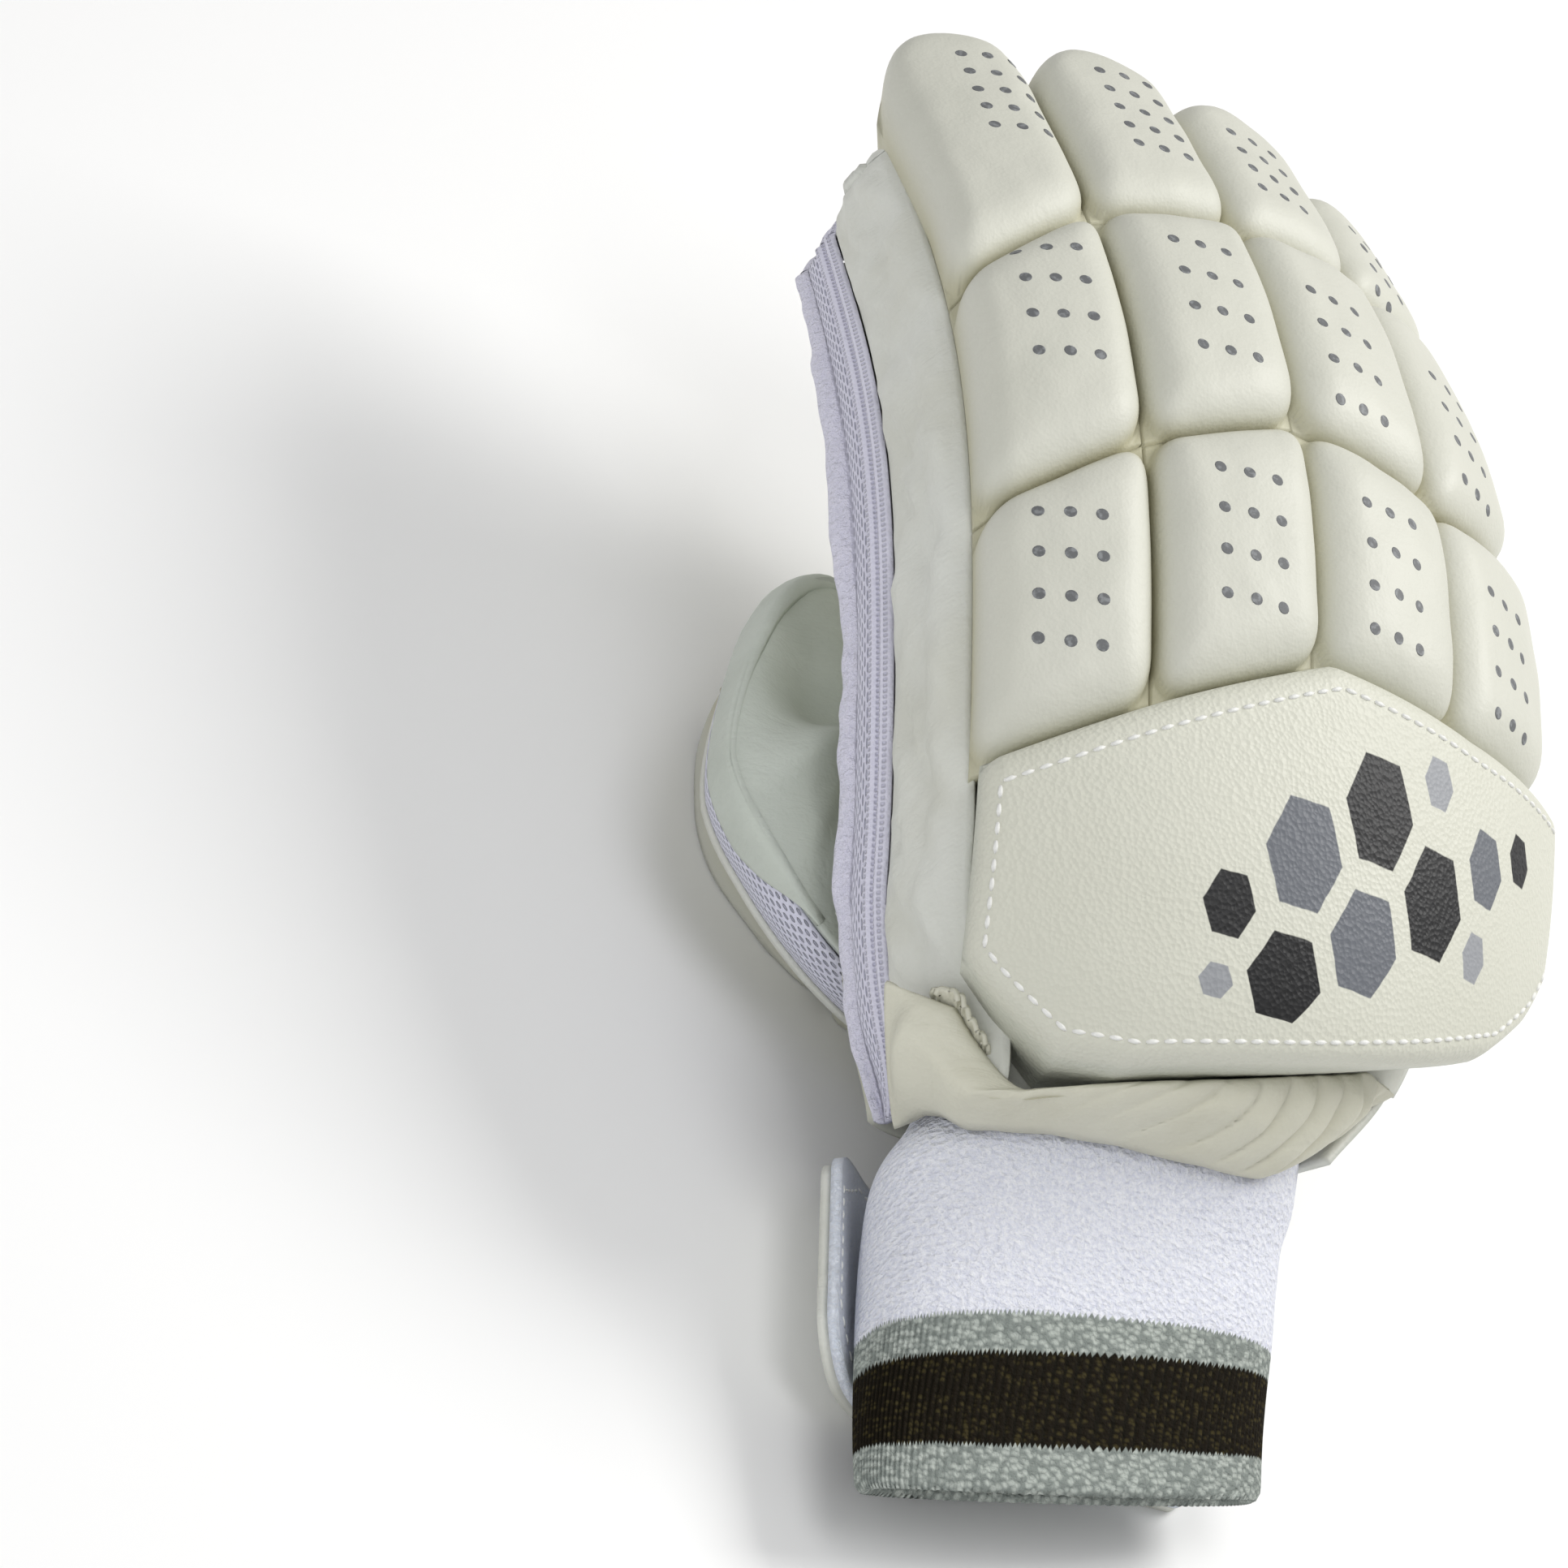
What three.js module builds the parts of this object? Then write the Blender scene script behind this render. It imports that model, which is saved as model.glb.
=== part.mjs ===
// A cricket batting glove for the left hand, lying palm down: four padded fingers, a thumb folded
// under the palm, a guard over the back of the wrist, a knitted cuff and its strap.
// Millimetres, +Z up, +Y towards the fingertips, -X on the little finger's side.
// The glove rests on its strap and on the thumb's two pads.
import * as THREE from "three";

// The hand.
const palmWidth = 107;
const palmStart = 10; // along the hand from the wrist seam, where the palm's leather starts
const backStart = 8;
const crotchAt = 114; // from the wrist seam to the slits between the fingers
const backRadius = 91; // the arch of the back, across the hand
const backHalfAngle = 36.5; // degrees from the middle of the back to its edges
const edgeHeight = 31; // from the palm's edge to the back's edge
const palmHollow = 7;
const palmLeather = 1.6;
const backLeather = 1.6;
const gussetWall = 1.5;
const gussetBulge = 2.4;
const seamGap = 0.35; // between pieces that are sewn together
const fingerTipRound = 12;
const meshShare = 0.66; // of the side's height, where the mesh band ends and the side leather starts

// The pads.
const padThickness = 18.5;
const padBevel = 6.5;
const padRim = 0.5; // of a pad's thickness, at its edges
const padSeat = 0.75; // between a pad and the leather under it
const padGap = 0.5; // between neighbouring pads
const padSpread = 0.0016; // of the share across, for each unit of length past padSpreadFrom
const padSpreadFrom = 155;
const guardThickness = 20;
const guardBevel = 5;
const guardRim = 0.6;

// The wrist's leather roll.
const rollBulge = 6.5;
const rollLeather = 1.8;
const rollReach = 0.86; // across the hand, on the thumb's side
const rollPleats = 7;
const rollPleatDepth = 1.5;

// The cuff and its strap.
const cuffWidth = 80;
const cuffHeight = 34.5;
const cuffWall = 2.4;
const cuffSquareness = 0.82; // 1 is an ellipse, less is nearer a box
const cuffUnder = 8; // by which its lower side is shorter than its upper side
const cuffSkew = 0.2; // run of its end along the hand for each unit across
const restLift = 8.3; // the palm's line over the floor, at the cuff
const strapReach = 51; // to the little finger's side of the cuff's middle line
const strapShort = 43; // to the other side
const strapFrom = -43;
const strapTo = 5;
const strapLean = 0.22; // sideways run of the strap's ends for each unit of its length
const strapFlat = 28; // to each side, lying flat
const strapRise = 13; // of its end on the little finger's side
const strapSlant = 9; // of its end on the thumb's side
const strapLeather = 1.8;
const strapLining = 1.9;
const strapRound = 10;

// The cuff along its length: shares of its width and height, its middle over the palm's line,
// and its run aside.
const cuffLine = [
  { along: -62, width: 1.0, height: 0.42, middle: 6.6, aside: 3 },
  { along: -49, width: 1.01, height: 0.62, middle: 8.4, aside: 1.5 },
  { along: -33, width: 1.01, height: 0.88, middle: 11.4, aside: 0 },
  { along: -15, width: 1, height: 1.02, middle: 14.2, aside: -1.5 },
  { along: -4, width: 0.98, height: 1.02, middle: 17, aside: -2.5 },
  { along: 7, width: 0.93, height: 0.98, middle: 19.6, aside: -1 },
  { along: 15, width: 0.89, height: 0.95, middle: 19.6, aside: 0 },
];

// The thumb.
const thumbHoleFrom = 11; // along the palm's edge
const thumbHoleTo = 76;
const thumbHoleReach = 0.52; // of the half palm, from its edge to the fold
const thumbTipRound = 0.15; // of the thumb's length
const thumbCrown = 3;
const thumbPadDepth = 20;
const thumbPadBevel = 6;
const thumbPadRim = 0.9;
const thumbPadWide = 52; // about, for its bevels
const thumbPadLong = 48;

// Along the hand, from the wrist seam: slope of the palm's line, its run to the side, and shares of
// the width, height and hollow.
const posture = [
  { along: -100, slope: 0, side: -27, width: 0.8, height: 0.8, hollow: 0 },
  { along: -20, slope: 4, side: -8.5, width: 0.78, height: 0.8, hollow: 0 },
  { along: 5, slope: 21, side: -4.5, width: 0.8, height: 0.84, hollow: 0.1 },
  { along: 35, slope: 31, side: -1, width: 0.93, height: 0.96, hollow: 0.5 },
  { along: 75, slope: 20.5, side: 0, width: 1, height: 1, hollow: 1 },
  { along: 115, slope: 11, side: 0, width: 1, height: 1, hollow: 1.2 },
  { along: 150, slope: 0, side: 0, width: 0.98, height: 0.94, hollow: 1.2 },
  { along: 190, slope: -5, side: 0, width: 0.95, height: 0.84, hollow: 1.1 },
  { along: 230, slope: -13, side: 0, width: 0.92, height: 0.8, hollow: 1 },
];

// Each finger: its middle and half width as shares across the hand, and how far its leather reaches.
const fingers = [
  { name: "little", middle: -0.74, half: 0.245, tip: 193 },
  { name: "ring", middle: -0.235, half: 0.235, tip: 196 },
  { name: "middle", middle: 0.25, half: 0.235, tip: 197 },
  { name: "index", middle: 0.755, half: 0.245, tip: 182 },
];

// Where the rows of pads meet, at the five lines between and beside the columns.
const padLines = [
  { across: -0.985, guard: 58, knuckle: 97, middle: 138, tip: 208 },
  { across: -0.47, guard: 70, knuckle: 111.5, middle: 155, tip: 209 },
  { across: 0.0, guard: 81.5, knuckle: 120.5, middle: 161, tip: 207 },
  { across: 0.49, guard: 80.5, knuckle: 118.5, middle: 164, tip: 205 },
  { across: 1.04, guard: 82, knuckle: 124, middle: 171, tip: 192 },
];

// The lower edge of the guard, and of the leather roll below it.
const guardLine = [
  { across: -0.96, guard: 31, roll: 0 },
  { across: -0.84, guard: 23, roll: -1 },
  { across: -0.62, guard: 10, roll: -3 },
  { across: -0.42, guard: 10, roll: -3.5 },
  { across: 0.28, guard: 27, roll: 0 },
  { across: 0.72, guard: 37, roll: 2 },
  { across: 0.9, guard: 45, roll: 3 },
  { across: 1.04, guard: 55, roll: 4 },
];

// The thumb from its fold to its tip: the left and right edges of its inner leather, the left one
// nearer the cuff.
const thumbLine = [
  { share: 0.14, leftX: 38, leftY: 12, leftZ: 12.5, rightX: 50, rightY: 66, rightZ: 35 },
  { share: 0.28, leftX: 14, leftY: 21, leftZ: 14.5, rightX: 32, rightY: 64, rightZ: 36 },
  { share: 0.44, leftX: -16, leftY: 31, leftZ: 21, rightX: 12, rightY: 68, rightZ: 37 },
  { share: 0.6, leftX: -45, leftY: 36, leftZ: 27, rightX: -6, rightY: 80, rightZ: 38 },
  { share: 0.76, leftX: -63, leftY: 52, leftZ: 33, rightX: -19, rightY: 94, rightZ: 38 },
  { share: 0.9, leftX: -69, leftY: 74, leftZ: 34, rightX: -26, rightY: 107, rightZ: 37 },
  { share: 1, leftX: -62, leftY: 112, leftZ: 33, rightX: -24, rightY: 132, rightZ: 35 },
];
// How far the thumb's outer leather hangs below each of those edges, and lies inside them.
const thumbDrop = [
  { share: 0.14, left: 6, right: 9, inset: -9 },
  { share: 0.28, left: 9.5, right: 17, inset: -5 },
  { share: 0.44, left: 14, right: 19, inset: 2 },
  { share: 0.6, left: 14, right: 20, inset: 5 },
  { share: 0.76, left: 16, right: 20, inset: 6 },
  { share: 0.9, left: 16, right: 19, inset: 6 },
  { share: 1, left: 15, right: 16, inset: 5 },
];
const thumbPads = [
  { name: "base", from: 0.27, to: 0.6, left: -0.38, right: 0.94 },
  { name: "tip", from: 0.612, to: 1, left: -0.28, right: 0.95 },
];

const radians = (d) => (d * Math.PI) / 180;
const mix = (a, b, t) => a + (b - a) * t;
const clamp01 = (t) => Math.min(1, Math.max(0, t));

// A column of a table at a place between its rows, on a smooth curve through them.
function fromTable(rows, key, column, at) {
  const last = rows.length - 1;
  if (at <= rows[0][key]) return rows[0][column];
  if (at >= rows[last][key]) return rows[last][column];
  const i = rows.findIndex((r) => r[key] > at) - 1;
  const slopeAt = (n) => {
    const a = rows[Math.max(0, n - 1)];
    const b = rows[Math.min(last, n + 1)];
    return (b[column] - a[column]) / (b[key] - a[key]);
  };
  const a = rows[i];
  const b = rows[i + 1];
  const run = b[key] - a[key];
  const t = (at - a[key]) / run;
  const h = t * t * (3 - 2 * t);
  const bend = t * (1 - t) * ((1 - t) * slopeAt(i) - t * slopeAt(i + 1));
  return mix(a[column], b[column], h) + run * bend;
}
function straightTable(rows, key, column, at) {
  const last = rows.length - 1;
  if (at <= rows[0][key]) return rows[0][column];
  if (at >= rows[last][key]) return rows[last][column];
  const i = rows.findIndex((r) => r[key] > at) - 1;
  const t = (at - rows[i][key]) / (rows[i + 1][key] - rows[i][key]);
  return mix(rows[i][column], rows[i + 1][column], t);
}

// The line along the hand's palm, stepped out from the slopes of the posture table.
const lineStep = 2;
const lineZeroAt = -40; // there the line is at its own height over the floor
const line = [];
for (let v = -120, y = -120, z = 0; v <= 260; v += lineStep) {
  const slope = radians(fromTable(posture, "along", "slope", v));
  line.push({ v, y, z, slope });
  y += Math.cos(slope) * lineStep;
  z += Math.sin(slope) * lineStep;
}
const zero = line[(lineZeroAt + 120) / lineStep];
const lineShift = { y: lineZeroAt - zero.y, z: restLift - zero.z };
for (const p of line) {
  p.y += lineShift.y;
  p.z += lineShift.z;
}
function lineAt(v) {
  const t = (v - line[0].v) / lineStep;
  const i = Math.min(line.length - 2, Math.max(0, Math.floor(t)));
  const a = line[i];
  const b = line[i + 1];
  const f = t - i;
  return { y: mix(a.y, b.y, f), z: mix(a.z, b.z, f), slope: mix(a.slope, b.slope, f) };
}

// The palm's and back's leather, in the section across the hand: a is the share across, -1 to 1.
function palmEdge(a, v) {
  const width = fromTable(posture, "along", "width", v);
  const hollow = palmHollow * fromTable(posture, "along", "hollow", v);
  return { x: (a * palmWidth * width) / 2, z: hollow * (1 - a * a) };
}
function backEdge(a, v) {
  const width = fromTable(posture, "along", "width", v);
  const height = fromTable(posture, "along", "height", v);
  const angle = radians(backHalfAngle) * a;
  const arch = backRadius * (Math.cos(angle) - Math.cos(radians(backHalfAngle)));
  return {
    x: backRadius * width * Math.sin(angle),
    z: (edgeHeight + arch) * height,
    nx: Math.sin(angle),
    nz: Math.cos(angle),
  };
}
function place(x, z, v) {
  const p = lineAt(v);
  return new THREE.Vector3(
    x + fromTable(posture, "along", "side", v),
    p.y - z * Math.sin(p.slope),
    p.z + z * Math.cos(p.slope),
  );
}
// A point above the palm's outer face, by millimetres.
function abovePalm(a, v, up) {
  const p = palmEdge(a, v);
  const b = backEdge(a, v);
  const length = Math.hypot(b.x - p.x, b.z - p.z);
  return place(mix(p.x, b.x, up / length), mix(p.z, b.z, up / length), v);
}
// A point above (or, where up is negative, inside) the back's outer face, by millimetres.
function aboveBack(a, v, up) {
  const p = palmEdge(a, v);
  const b = backEdge(a, v);
  if (up >= 0) return place(b.x + up * b.nx, b.z + up * b.nz, v);
  const length = Math.hypot(b.x - p.x, b.z - p.z);
  return place(mix(b.x, p.x, -up / length), mix(b.z, p.z, -up / length), v);
}
// A point between the palm's and the back's leather, by the share of the clear height there.
function between(a, v, share) {
  const p = palmEdge(a, v);
  const b = backEdge(a, v);
  const length = Math.hypot(b.x - p.x, b.z - p.z);
  const low = (palmLeather + seamGap) / length;
  const high = 1 - (backLeather + seamGap) / length;
  const t = mix(low, high, share);
  return place(mix(p.x, b.x, t), mix(p.z, b.z, t), v);
}

// A closed skin round the cells of a grid. point(i, j, side) gives the corner on side 0 or 1,
// and has(i, j) says which cells are there.
function skin(columns, rows, point, has = () => true) {
  const positions = [];
  const index = [];
  const known = new Map();
  const corner = (i, j, side) => {
    const key = (i * (rows + 1) + j) * 2 + side;
    if (!known.has(key)) {
      known.set(key, positions.length / 3);
      const p = point(i, j, side);
      positions.push(p.x, p.y, p.z);
    }
    return known.get(key);
  };
  const quad = (a, b, c, d) => index.push(a, b, c, a, c, d);
  const there = (i, j) => i >= 0 && j >= 0 && i < columns && j < rows && has(i, j);
  for (let i = 0; i < columns; i++)
    for (let j = 0; j < rows; j++) {
      if (!there(i, j)) continue;
      const ring = [[i, j], [i + 1, j], [i + 1, j + 1], [i, j + 1]];
      const [a1, b1, c1, d1] = ring.map(([m, n]) => corner(m, n, 1));
      const [a0, b0, c0, d0] = ring.map(([m, n]) => corner(m, n, 0));
      quad(a1, b1, c1, d1);
      quad(a0, d0, c0, b0);
      if (!there(i, j - 1)) quad(a0, b0, b1, a1);
      if (!there(i + 1, j)) quad(b0, c0, c1, b1);
      if (!there(i, j + 1)) quad(c0, d0, d1, c1);
      if (!there(i - 1, j)) quad(d0, a0, a1, d1);
    }
  const geometry = new THREE.BufferGeometry();
  geometry.setAttribute("position", new THREE.Float32BufferAttribute(positions, 3));
  geometry.setIndex(index);
  return facingOut(geometry);
}
// Turns the faces round if they point inwards.
function facingOut(geometry) {
  const p = geometry.attributes.position;
  const n = geometry.index.array;
  const a = new THREE.Vector3();
  const b = new THREE.Vector3();
  const c = new THREE.Vector3();
  let volume = 0;
  for (let i = 0; i < n.length; i += 3) {
    a.fromBufferAttribute(p, n[i]);
    b.fromBufferAttribute(p, n[i + 1]);
    c.fromBufferAttribute(p, n[i + 2]);
    volume += a.dot(b.cross(c));
  }
  if (volume < 0) {
    for (let i = 0; i < n.length; i += 3) [n[i + 1], n[i + 2]] = [n[i + 2], n[i + 1]];
  }
  geometry.computeVertexNormals();
  return geometry;
}

// Where a finger's leather ends, at a share across the hand.
function fingerEnd(finger, a) {
  const off = clamp01(Math.abs(a - finger.middle) / finger.half);
  return finger.tip - fingerTipRound * (1 - Math.sqrt(Math.max(0, 1 - off * off * 0.96)));
}
// The share across at which the palm's leather ends on the thumb's side, bent in round the thumb's hole.
function palmRight(v) {
  const t = clamp01((v - thumbHoleFrom) / (thumbHoleTo - thumbHoleFrom));
  return 1 - thumbHoleReach * Math.sin(Math.PI * t) ** 0.7;
}

// A sheet of leather shaped as the hand with its four fingers. at(a, v, side) places its two faces.
const acrossFinger = [-1, -0.78, -0.3, 0.3, 0.78, 1];
function handSheet(from, at, palmRows, fingerRows, right = () => 1) {
  const columns = fingers.flatMap((finger, n) =>
    acrossFinger.map((s) => ({ a: finger.middle + finger.half * s, finger, n })));
  columns[0].a = -1;
  columns[columns.length - 1].a = 1;
  const point = (i, j, side) => {
    const c = columns[i];
    const v =
      j <= palmRows
        ? mix(from, crotchAt, j / palmRows)
        : mix(crotchAt, fingerEnd(c.finger, c.a), (j - palmRows) / fingerRows);
    const squeeze = c.a > 0 ? right(v) : 1;
    return at(c.a * squeeze, v, side);
  };
  const slit = (i) => columns[i].n !== columns[i + 1].n;
  return skin(columns.length - 1, palmRows + fingerRows, point, (i, j) => j < palmRows || !slit(i));
}

// A strip of the side between the palm's and the back's leather, along a path of shares and distances.
function sideStrip(path, low, high, rows, bulge) {
  const half = palmWidth / 2;
  const at = path.map((p) => new THREE.Vector2(p.a * half, p.v));
  const inward = at.map((p, i) => {
    const next = at[Math.min(at.length - 1, i + 1)];
    const run = next.clone().sub(at[Math.max(0, i - 1)]).normalize();
    return path[i].apex ? new THREE.Vector2(0, -1) : new THREE.Vector2(run.y, -run.x);
  });
  const point = (i, j, side) => {
    const share = mix(low, high, j / rows);
    const out = (side ? 0 : -gussetWall) + bulge * Math.sin(Math.PI * (j / rows));
    const p = at[i].clone().addScaledVector(inward[i], -out);
    return between(p.x / half, p.y, share);
  };
  return skin(path.length - 1, rows, point);
}
// Half the outline of one finger: "up" runs from its left foot to its tip, "down" from there to its
// right foot.
function fingerOutline(finger, from, part) {
  const left = finger.n === 0 ? -1 : finger.middle - finger.half;
  const right = finger.n === 3 ? 1 : finger.middle + finger.half;
  const steps = 5;
  const tipSteps = 4;
  const side = (a, down) =>
    Array.from({ length: steps }, (_, i) => {
      const t = i / steps;
      return { a, v: mix(from, fingerEnd(finger, a), down ? 1 - t : t) };
    });
  const arc = (a, b) =>
    Array.from({ length: tipSteps + 1 }, (_, i) => {
      const turn = ((i / tipSteps) * Math.PI) / 2;
      const share = mix(a, b, part === "up" ? 1 - Math.cos(turn) : Math.sin(turn));
      return { a: share, v: fingerEnd(finger, share) };
    });
  if (part === "up") return [...side(left, false), ...arc(left, finger.middle)];
  return [...arc(finger.middle, right), ...side(right, true).slice(1), { a: right, v: from }];
}
fingers.forEach((finger, n) => (finger.n = n));
const tipSeam = 0.35; // along the tip, between the strips that meet there
const trimmed = (path, first, last) => {
  const p = path.map((q) => ({ ...q }));
  const cutBack = (a, b) => {
    const run = Math.hypot(((b.a - a.a) * palmWidth) / 2, b.v - a.v);
    const t = tipSeam / 2 / run;
    return { a: mix(a.a, b.a, t), v: a.v, apex: true };
  };
  if (first) p[0] = cutBack(p[0], p[1]);
  if (last) p[p.length - 1] = cutBack(p[p.length - 1], p[p.length - 2]);
  return p;
};
function along(a, from, to, steps) {
  return Array.from({ length: steps }, (_, i) => ({ a, v: mix(from, to, i / steps) }));
}

const parts = [];
function add(name, geometry, color, roughness) {
  const material = new THREE.MeshStandardMaterial({ color, roughness, metalness: 0 });
  const mesh = new THREE.Mesh(geometry, material);
  mesh.name = name;
  parts.push(mesh);
  return mesh;
}
const leatherWhite = 0xe9e8dc;
const palmCream = 0xdad9cb;
const meshWhite = 0xd9d9ec;
const knitWhite = 0xe2e3ee;
const felt = 0xd3d9e2;

// How high a pad stands at a distance from its edge.
function bevelHeight(distance, thickness, bevel, rim) {
  const t = clamp01(distance / bevel);
  return thickness * mix(rim, 1, Math.sqrt(1 - (1 - t) * (1 - t)));
}
// One rounded pad over the back, between two column lines and two row lines.
const padShares = [0, 0.07, 0.22, 0.5, 0.78, 0.93, 1];
function pad(column, low, high) {
  const left = padLines[column];
  const right = padLines[column + 1];
  const n = padShares.length - 1;
  const width = (backRadius + padThickness) * radians(backHalfAngle) * (right.across - left.across);
  const squeeze = padGap / 2 / width;
  const point = (i, j, side) => {
    const s = padShares[i];
    const t = padShares[j];
    const a = mix(left.across, right.across, mix(squeeze, 1 - squeeze, s));
    const from = mix(left[low], right[low], s) + padGap / 2;
    const to = mix(left[high], right[high], s) - padGap / 2;
    const tipRound = high === "tip" ? 9 * (2 * s - 1) ** 2 : 0;
    const v = mix(from, to - tipRound, t);
    const spread = 1 + padSpread * Math.max(0, v - padSpreadFrom) * clamp01(-a - 0.4);
    if (!side) return aboveBack(a * spread, v, padSeat);
    const edge = Math.min(Math.min(s, 1 - s) * width, Math.min(t, 1 - t) * (to - from));
    return aboveBack(a * spread, v, padSeat + bevelHeight(edge, padThickness, padBevel, padRim));
  };
  return skin(n, n, point);
}

// The guard over the back of the wrist: its upper edge follows the columns, its lower corners are cut off.
function guardBlock() {
  const first = guardLine[0].across, last = padLines[4].across;
  const across = [0, 0.02, 0.06, 0.11, 0.17, 0.27, 0.37, 0.485, 0.55, 0.62, 0.74, 0.84, 0.93, 0.98, 1];
  const up = [0, 0.06, 0.18, 0.36, 0.58, 0.8, 0.94, 1];
  const width = (backRadius + guardThickness) * radians(backHalfAngle) * (last - first);
  const point = (i, j, side) => {
    const s = across[i];
    const t = up[j];
    const a = mix(first, last, s);
    const from = straightTable(guardLine, "across", "guard", a);
    const to = straightTable(padLines, "across", "guard", a) - padGap / 2;
    const v = mix(from, to, t);
    if (!side) return aboveBack(a, v, padSeat);
    const edge = Math.min(Math.min(s, 1 - s) * width, Math.min(t, 1 - t) * (to - from));
    return aboveBack(a, v, padSeat + bevelHeight(edge, guardThickness, guardBevel, guardRim));
  };
  return skin(across.length - 1, up.length - 1, point);
}

// The cuff's outer face moved in by wall, at an angle round it from the thumb's side.
function cuffAt(angle, v, wall) {
  const share = (name) => fromTable(cuffLine, "along", name, v);
  const bend = (q) => Math.sign(q) * Math.abs(q) ** cuffSquareness;
  const x = ((cuffWidth * share("width")) / 2 - wall) * bend(Math.cos(angle));
  const z = share("middle") + ((cuffHeight * share("height")) / 2 - wall) * bend(Math.sin(angle));
  return place(x + share("aside"), z, v + cuffSkew * x * clamp01(-v / 40));
}

// The leather roll round the back of the wrist: a fold that bulges between the guard and the cuff,
// pleated on the thumb's side.
function wristRoll() {
  const steps = 26;
  const rows = 6;
  const point = (i, j, side) => {
    const s = i / steps;
    const t = j / rows;
    const a = mix(-1, rollReach, s);
    const row = (name) => straightTable(guardLine, "across", name, a);
    const v = mix(row("roll"), Math.min(row("guard") - 1.2, 27), t);
    const low = cuffAt(radians(90 - 86 * a), v, side ? -0.7 - rollLeather : -0.7);
    const high = aboveBack(a, v, side ? 0.9 + rollLeather : 0.9);
    const out = high.clone().sub(place(0, 12, v)).normalize();
    const pleat = Math.sin(rollPleats * 2 * Math.PI * s) * rollPleatDepth * clamp01((s - 0.45) * 3);
    const fade = 1 - 0.3 * clamp01((s - 0.7) / 0.3);
    const bulge = (rollBulge * fade + pleat) * Math.sin(Math.PI * t) ** 0.8;
    const blend = clamp01(t * 1.7) ** 0.8;
    return low.lerp(high, blend).addScaledVector(out, bulge);
  };
  return skin(steps, rows, point);
}

// The knitted cuff, a tube that leans to one side and narrows where it goes into the hand.
function cuffTube() {
  const around = 36;
  const rows = cuffLine.map((row) => row.along);
  const last = rows.length - 1;
  const tall = rows.length;
  const positions = [];
  const index = [];
  const corner = (i, j, side) => (((i + around) % around) * tall + j) * 2 + side;
  for (let i = 0; i < around; i++)
    for (const row of rows)
      for (let side = 0; side < 2; side++) {
        const angle = (i / around) * 2 * Math.PI;
        const under = (cuffUnder * (1 - Math.sin(angle)) * clamp01(-row / 60)) / 2;
        const p = cuffAt(angle, row + under, side ? 0 : cuffWall);
        positions.push(p.x, p.y, p.z);
      }
  const quad = (a, b, c, d) => index.push(a, b, c, a, c, d);
  for (let i = 0; i < around; i++) {
    for (let j = 0; j < last; j++) {
      quad(corner(i, j, 1), corner(i, j + 1, 1), corner(i + 1, j + 1, 1), corner(i + 1, j, 1));
      quad(corner(i, j, 0), corner(i + 1, j, 0), corner(i + 1, j + 1, 0), corner(i, j + 1, 0));
    }
    quad(corner(i, 0, 0), corner(i, 0, 1), corner(i + 1, 0, 1), corner(i + 1, 0, 0));
    quad(corner(i, last, 0), corner(i + 1, last, 0), corner(i + 1, last, 1), corner(i, last, 1));
  }
  const geometry = new THREE.BufferGeometry();
  geometry.setAttribute("position", new THREE.Float32BufferAttribute(positions, 3));
  geometry.setIndex(index);
  return facingOut(geometry);
}

// A layer of the strap: flat under the cuff, its ends rising beside it. trim makes it smaller all round.
function strapLayer(lowest, thickness, trim) {
  const flatEnds = [-strapFlat / strapReach, 0, strapFlat / strapShort];
  const across = [-1, -0.97, -0.9, -0.8, -0.68, ...flatEnds, 0.8, 0.9, 0.97, 1];
  const rows = 6;
  const middle = (strapFrom + strapTo) / 2;
  const point = (i, j, side) => {
    const reach = strapReach - trim;
    const half = (strapTo - strapFrom) / 2 - trim;
    const x = across[i] * (across[i] > 0 ? strapShort - trim : reach);
    const corner = clamp01((Math.abs(across[i]) - 1) * (reach / strapRound) + 1);
    const cut = strapRound * (1 - Math.sqrt(1 - 0.98 * corner * corner));
    const y = (half - cut) * ((2 * j) / rows - 1);
    const rise = Math.max(0, -x - strapFlat) / (strapReach - strapFlat);
    const steep = (1.7 * strapRise * rise ** 0.7) / (strapReach - strapFlat);
    const tilt = Math.atan(steep) * Math.sign(x);
    const up = lowest + (side ? thickness : 0);
    const slant = (strapSlant * (y / half) * Math.max(0, x - strapFlat)) / (strapShort - strapFlat);
    return new THREE.Vector3(
      x - up * Math.sin(tilt) + slant + strapLean * (middle + y),
      middle + y,
      strapRise * rise ** 1.7 + up * Math.cos(tilt),
    );
  };
  return skin(across.length - 1, rows, point);
}

// The thumb: its inner leather hangs from the fold in the palm, its outer leather from the back's edge.
function thumbEdge(s, a) {
  const column = (name) => fromTable(thumbLine, "share", name, s);
  const left = new THREE.Vector3(column("leftX"), column("leftY"), column("leftZ"));
  const right = new THREE.Vector3(column("rightX"), column("rightY"), column("rightZ"));
  return left.lerp(right, (a + 1) / 2);
}
const foldShare = thumbLine[0].share;
function thumbInner(a, s, inside) {
  const crown = thumbCrown * (1 - a * a) * clamp01(s / foldShare - 0.5);
  const v = mix(thumbHoleFrom + 2.2, thumbHoleTo - 2.2, (a + 1) / 2);
  const fold = abovePalm(palmRight(v) + 0.03 + inside * ((2 * palmLeather) / palmWidth), v, 0.6);
  const p = thumbEdge(Math.max(s, foldShare), a);
  p.z += crown - inside * palmLeather;
  return s < foldShare ? fold.lerp(p, s / foldShare) : p;
}
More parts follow.
